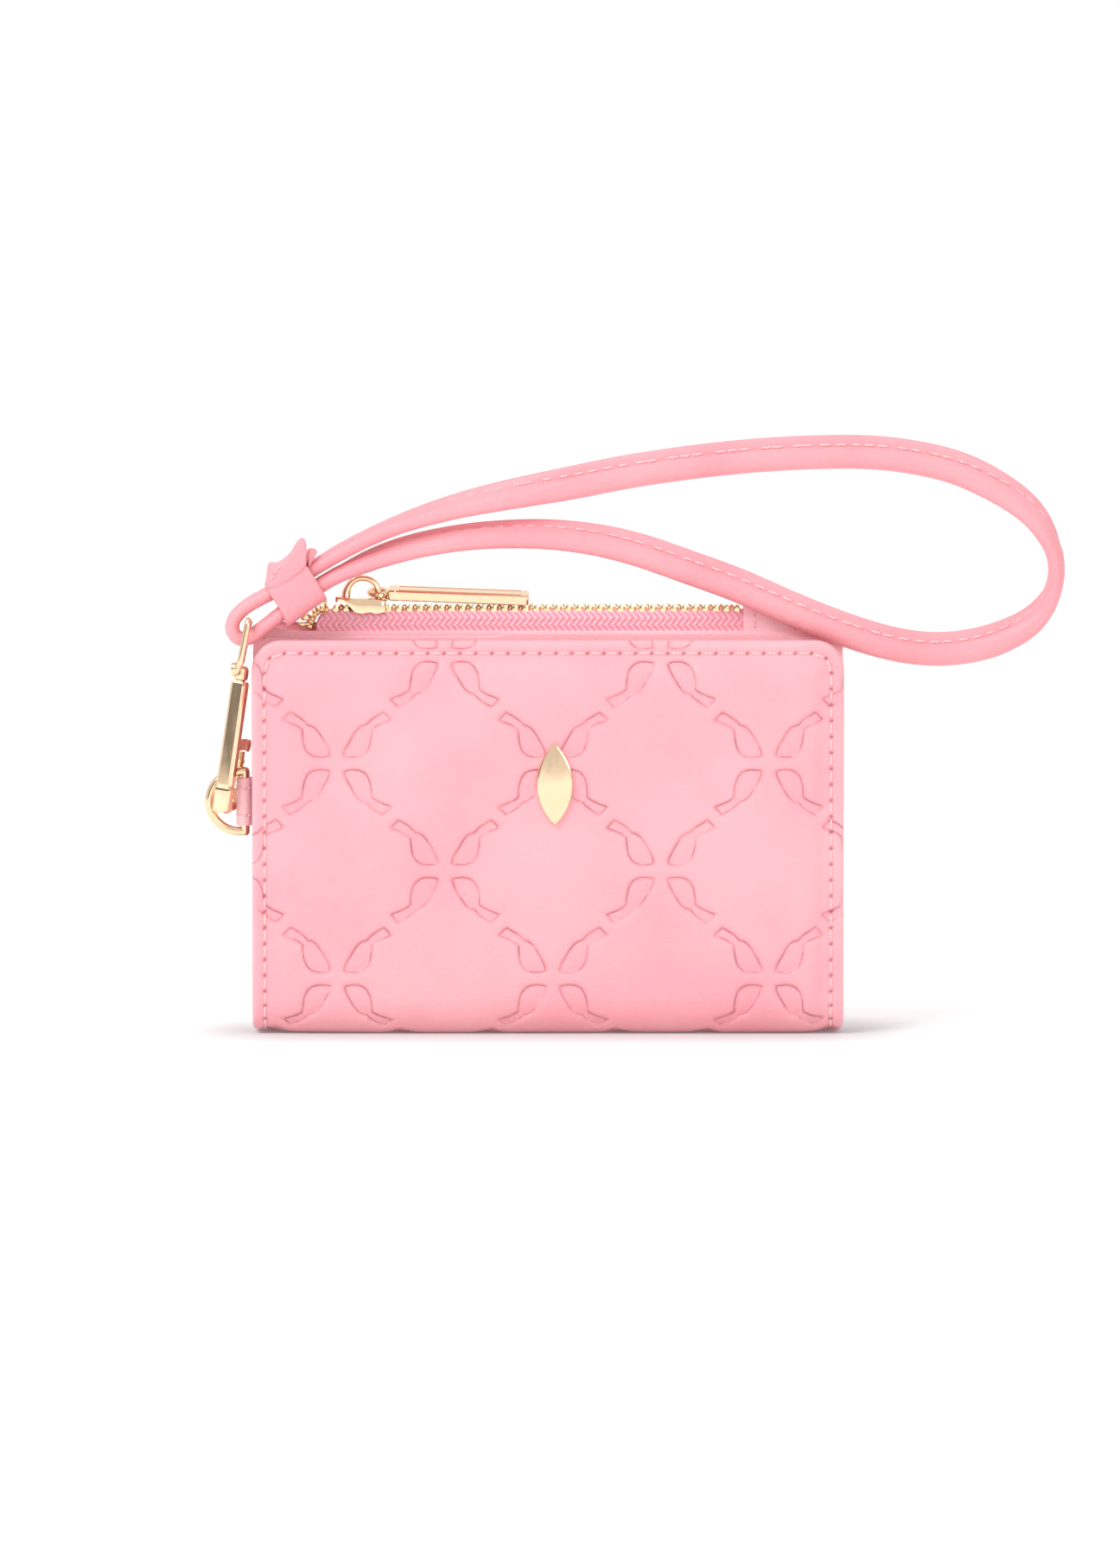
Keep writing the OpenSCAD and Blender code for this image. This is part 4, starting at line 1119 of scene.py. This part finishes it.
def make_swivel():
    """Wire eye of the swivel, its stud in the hook's top and the knob beside it."""
    low, high, half = np.array([-62.4, -3.6, 74.8]), np.array([-60.6, -3.6, 84.0]), 4.95
    corners = []
    for base, other, side in ((low, high, -1), (low, high, 1), (high, low, 1), (high, low, -1)):
        at = base + [0, side * half, 0]
        to_side, to_other = np.array([0, -side, 0]), unit(other - base)
        a, b = (to_side, to_other) if (side < 0) == (base is high) else (to_other, to_side)
        corners += [at + 1.3 * a, at + 0.38 * (a + b), at + 1.3 * b]
    loop = smooth_line(corners, 6, closed=True)
    parts = [tube(loop, 0.65, 12, closed=True, up=(1, 0, 0.02))]
    stud = [(0.84, 22.3), (0.84, 23.3), (0.6, 23.4), (0.6, 26.9), (0.95, 27.05), (1.0, 27.25),
            (1.35, 27.45), (1.42, 27.8), (1.42, 29.2), (1.3, 29.7), (0.9, 30.1), (0.5, 30.2)]
    points, faces = lathe(stud, 20)
    parts.append((in_hook(points), faces))
    knob = [(0.9, 0.0), (1.3, 0.1), (1.45, 0.35), (1.45, 1.6), (1.3, 1.9), (0.8, 2.0)]
    knob, faces = lathe(knob, 20)
    parts.append((np.stack([-64.3 + knob[:, 2], -3.6 + knob[:, 0], 74 + knob[:, 1]], -1), faces))
    finished("swivel_gold", joined(parts), "gold", "gold", "swivel", "swivel_eye", sharp=40)


def make_ring_tab():
    """Leather loop rolled round the D-ring's bar, sewn across above and below."""
    centre = np.array([-61.6, -0.5])
    a = np.radians(np.linspace(10, -290, 26))
    roll = centre + 1.42 * np.stack([np.cos(a), np.sin(a)], -1)
    line = np.concatenate([[(-59.9, 2.12), (-60.15, 1.3), (-60.2, 0.5)], roll,
                           [(-60.9, 1.6), (-60.55, 2.2), (-59.9, 2.66)]])
    rings = []
    low, high, seams = 42.05, 51.75, (49.7, 44.2)
    for z in columns(low, high, 1.2, 0.3):
        edge = min(z - low, high - z)
        thick = 0.36 * math.sqrt(max(0.05, 1 - max(0.3 - edge, 0) ** 2 / 0.3 ** 2))
        thick *= 1 - 0.2 * math.exp(-(min(abs(z - seam) for seam in seams) / 0.35) ** 2)
        ring = two_sided(line, thick)
        rings.append(np.column_stack([ring, np.full(len(ring), z)]))
    finished("ring_tab_leather", sweep(rings, folded=True), "tab", "leather", "back_half",
             "d_ring_tab", sharp=60)
    rows = []
    for z in seams:
        for deg in (-150, -118, -86, -54, -22):
            turn = math.radians(deg)
            out = np.array([math.cos(turn), math.sin(turn), 0])
            at = np.array([*centre, z]) + 1.74 * out
            rows.append(stitch(at, np.array([-out[1], out[0], 0.12]), out, 0.75, 0.2))
    finished("ring_tab_stitches", joined(rows), "thread", "thread", "back_half")


make_hook()
make_swivel()
make_ring_tab()


# ---------------------------------------------------------------- wrist strap

STRAP_W = 6.6
STRAP_HALF = 1.7
FLANGE = 0.33 * STRAP_W
FLANGE_HALF = 0.62
# x, y, z, turn of the flange in degrees, and share of the full thickness
ROUTE = [
    (-52.3, -1.6, 91.4, 90, 0.94), (-44.5, -1.5, 96.5, 80, 0.94), (-36.5, -1.3, 100.8, 75, 1),
    (-28.5, -1.1, 104.2, 68, 1), (-14, -0.8, 108.2, 45, 1), (4.5, -0.6, 111.5, 15, 1),
    (16, -0.6, 114, 0, 1), (38, -0.6, 117, 0, 1), (57, -0.6, 118, 0, 1),
    (69, -0.6, 117.7, 0, 1), (81, -0.6, 115.5, 5, 1), (88.5, -0.6, 112.3, 15, 1),
    (95.8, -0.6, 107.9, 33, 1), (100.6, -0.6, 102.8, 55, 1), (103.9, -0.6, 94.8, 84, 1),
    (100.2, -0.6, 85.1, 125, 1), (93.2, -0.6, 80.7, 155, 1), (87, -0.6, 78.7, 170, 1),
    (79.5, -0.6, 77.8, 180, 1), (72, -0.6, 78.5, 180, 1), (64.5, -0.6, 80.4, 180, 1),
    (55, -0.6, 83.8, 180, 1), (46, -0.6, 87.6, 180, 1), (38, -0.6, 91.2, 180, 1),
    (28, -0.6, 94.7, 175, 1), (17, -0.6, 98.6, 165, 1), (5, -0.7, 100.9, 150, 1),
    (-6, -0.8, 101.4, 140, 1), (-17.5, -0.9, 100.7, 132, 1), (-28, -1.1, 98.7, 128, 1),
    (-36, -1.3, 96.2, 118, 1), (-44, -1.5, 92.6, 100, 0.94), (-50, -1.6, 88.3, 90, 0.94),
    (-56, -2.6, 83.8, 90, 0.88), (-58.7, -3.3, 81.8, 90, 0.86), (-60.5, -3.4, 80.4, 90, 0.86),
    (-62.6, -3.4, 80.1, 90, 0.86), (-64.0, -3.4, 81.7, 90, 0.86), (-63.8, -3.4, 84.0, 90, 0.86),
    (-62.0, -3.2, 86.1, 90, 0.86), (-59.2, -2.6, 88.0, 90, 0.9),
]


def strap_frames(steps):
    """Place, across-the-width, through-the-thickness and size at each station of the strap."""
    line = smooth_line(ROUTE, steps, closed=True)
    for _ in range(24):
        line = (np.roll(line, 1, 0) + 2 * line + np.roll(line, -1, 0)) / 4
    at = line[:, :3]
    along = np.roll(at, -1, 0) - np.roll(at, 1, 0)
    along[:, 1] = 0
    along = unit(along)
    out = np.stack([-along[:, 2], 0 * along[:, 0], along[:, 0]], -1)
    back = np.array([0.0, 1.0, 0.0])
    turn = np.radians(line[:, 3])[:, None]
    wide = out * np.cos(turn) + back * np.sin(turn)
    thick = back * np.cos(turn) - out * np.sin(turn)
    return at, along, wide, thick, line[:, 4]


def strap_half_width(share):
    """The strap is a little narrower where it passes through the swivel's eye."""
    return STRAP_W / 2 + 1.3 * max(share - 0.88, 0)


def strap_section(share):
    """Padded tube on one side and a flat sewn flange on the other, as (across, through)."""
    w, t, f = strap_half_width(share), STRAP_HALF * share, FLANGE_HALF
    edge = w - FLANGE
    upper = [(w, 0.25), (w - 0.15, f * 0.9), (w - 0.8, f), (edge + 0.35, f * 0.86), (edge, f * 0.8),
             (edge - 0.4, t * 0.78), (edge - 1.1, t * 0.97), (-w * 0.35, t), (-w * 0.7, t * 0.8),
             (-w * 0.92, t * 0.42)]
    return np.array(upper + [(-w, 0)] + [(a, -b) for a, b in upper[::-1]])


def make_strap():
    """The wrist loop and the stitches on both faces of its flange."""
    at, along, wide, thick, share = strap_frames(9)
    rings = []
    for i in range(len(at)):
        ring = strap_section(share[i])
        wrinkle = 1 + 0.012 * math.sin(i * 1.7) + 0.01 * math.sin(i * 0.6 + 1)
        rings.append(at[i] + ring[:, :1] * wide[i] + ring[:, 1:] * wrinkle * thick[i])
    finished("wrist_strap_leather", sweep(rings, closed=True), "strap", "leather", "strap",
             "wrist_strap", sharp=70)

    run = np.concatenate([[0], np.cumsum(np.linalg.norm(np.diff(at, axis=0), axis=1))])
    parts = []
    for distance in np.arange(8.0, run[-1] - 30, 3.15):
        i = int(np.searchsorted(run, distance))
        if i >= len(at):
            break
        across = strap_half_width(share[i]) - FLANGE + 0.2
        for sign in (-1, 1):
            here = at[i] + wide[i] * across + thick[i] * sign * FLANGE_HALF * 0.9
            parts.append(stitch(here, along[i], thick[i] * sign, 2.35, 0.27))
    finished("strap_stitches", joined(parts), "thread", "thread", "strap")


# ---------------------------------------------------------------- keeper

KEEPER_AT = np.array([-51.15, -1.85, 89.85])
KEEPER_LEAN = math.radians(36)


def in_keeper(points):
    """From the keeper's own axes, along the strap, back and across, to the wallet's."""
    p = np.asarray(points, float)
    c, s = math.cos(KEEPER_LEAN), math.sin(KEEPER_LEAN)
    return KEEPER_AT + np.stack([p[:, 0] * c - p[:, 2] * s, p[:, 1], p[:, 0] * s + p[:, 2] * c], -1)


def fin_face(u, v):
    """Depth of the fin's bulging front face."""
    return -4.75 + 0.045 * (v - 2.6) ** 2 - 0.05 * u


def pebble(outline, front, back, soft):
    """A flat shape with rounded edges: outline holds (a, b) points, front and back are depths."""
    line = smooth_line(outline, 4, closed=True)
    along = unit(np.roll(line, -1, 0) - np.roll(line, 1, 0))
    normal = np.stack([along[:, 1], -along[:, 0]], -1)
    area = np.sum(line[:, 0] * np.roll(line[:, 1], -1) - np.roll(line[:, 0], -1) * line[:, 1])
    normal *= np.sign(area)
    rings = []
    for depth, inset in ((0, 1.0), (0.15, 0.45), (0.45, 0.08), (1.0, 0.0)):
        rings.append((line - normal * soft * inset, depth * soft))
    out = []
    for ring, d in rings + rings[::-1]:
        face, sign = (front, 1) if len(out) < 4 else (back, -1)
        out.append(np.stack([ring[:, 0], face(ring) + sign * d, ring[:, 1]], -1))
    return sweep(out)


def make_keeper():
    """Leather sleeve round both runs of the strap, with a fin, an ear and three stitches."""
    rings = []
    for angle in np.radians(np.arange(0, 360, 7.5)):
        c, s = math.cos(angle), math.sin(angle)
        size = (abs(c) ** 3.2 + abs(s) ** 3.2) ** (-1 / 3.2)
        y, z = size * c, size * s
        right = 4.55 + 0.35 * max(s, 0) - 0.3 * c - 0.35 * max(-s, 0)
        left = -4.6 - 1.3 * max(-s, 0) ** 2 + 0.2 * max(s, 0)
        stations = [(left + 0.12, 0.22), (left, 0.5), (left + 0.12, 0.86), (left + 0.5, 0.98),
                    (left * 0.5, 0.94), (0, 0.9), (right * 0.5, 0.95), (right - 0.5, 1.04),
                    (right - 0.12, 0.95), (right, 0.6), (right - 0.12, 0.24), (right - 0.6, 0.1),
                    (0, 0.06), (left + 0.6, 0.1)]
        rings.append([(u, y * (3.75 + k), z * (4.1 + k)) for u, k in stations])
    sleeve, faces = sweep(rings, closed=True)
    parts = [(in_keeper(sleeve), faces)]
    fin = [(-4.4, 4.2), (-2.9, 6.0), (-1.5, 7.5), (-0.6, 7.75), (0.6, 6.9), (3.2, 6.9), (5.1, 7.5),
           (6.4, 8.05), (7.6, 7.85), (7.5, 6.6), (6.3, 4.8), (4.7, 2.9), (2.0, 2.6), (-2.0, 2.8)]
    front, faces = pebble(fin, lambda p: fin_face(*p.T), lambda p: fin_face(*p.T) + 2, 0.55)
    parts.append((in_keeper(front), faces))
    ear = [(-48.9, 94.4), (-48.9, 96.6), (-48.7, 98.2), (-48.0, 98.6), (-47.1, 98.4), (-46.8, 97.7),
           (-47.4, 96.5), (-48.2, 95.0)]
    tail, faces = pebble(ear, lambda p: np.full(len(p), -4.9), lambda p: np.full(len(p), -3.3), 0.4)
    parts.append((tail, faces))
    finished("keeper_leather", joined(parts), "strap", "leather", "strap", "strap_keeper", sharp=60)
    rows = []
    for u0, v0 in ((-1.9, 5.1), (-0.9, 5.6), (0.2, 5.9)):
        at = in_keeper([(u0, fin_face(u0, v0), v0)])[0]
        along = in_keeper([(u0 + 0.9, -4.7, v0 + 0.15)])[0] - in_keeper([(u0, -4.7, v0)])[0]
        rows.append(stitch(at, unit(along), np.array([0, -1, 0]), 0.8, 0.18))
    finished("keeper_stitches", joined(rows), "thread", "thread", "strap")


make_strap()
make_keeper()


# ---------------------------------------------------------------- finish

# CAD parts that stay as they are and only get a material
for node, look in {"back_board": "board", "flap_board": "board", "strap_core": "core",
                   "d_ring": "gold", "gate_pin": "gold", "gate_spring": "gold_soft",
                   "emblem_washer": "gold_soft", "zip_end_stop": "gold_soft"}.items():
    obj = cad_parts[node]
    obj.data.materials.clear()
    obj.data.materials.append(M[look])
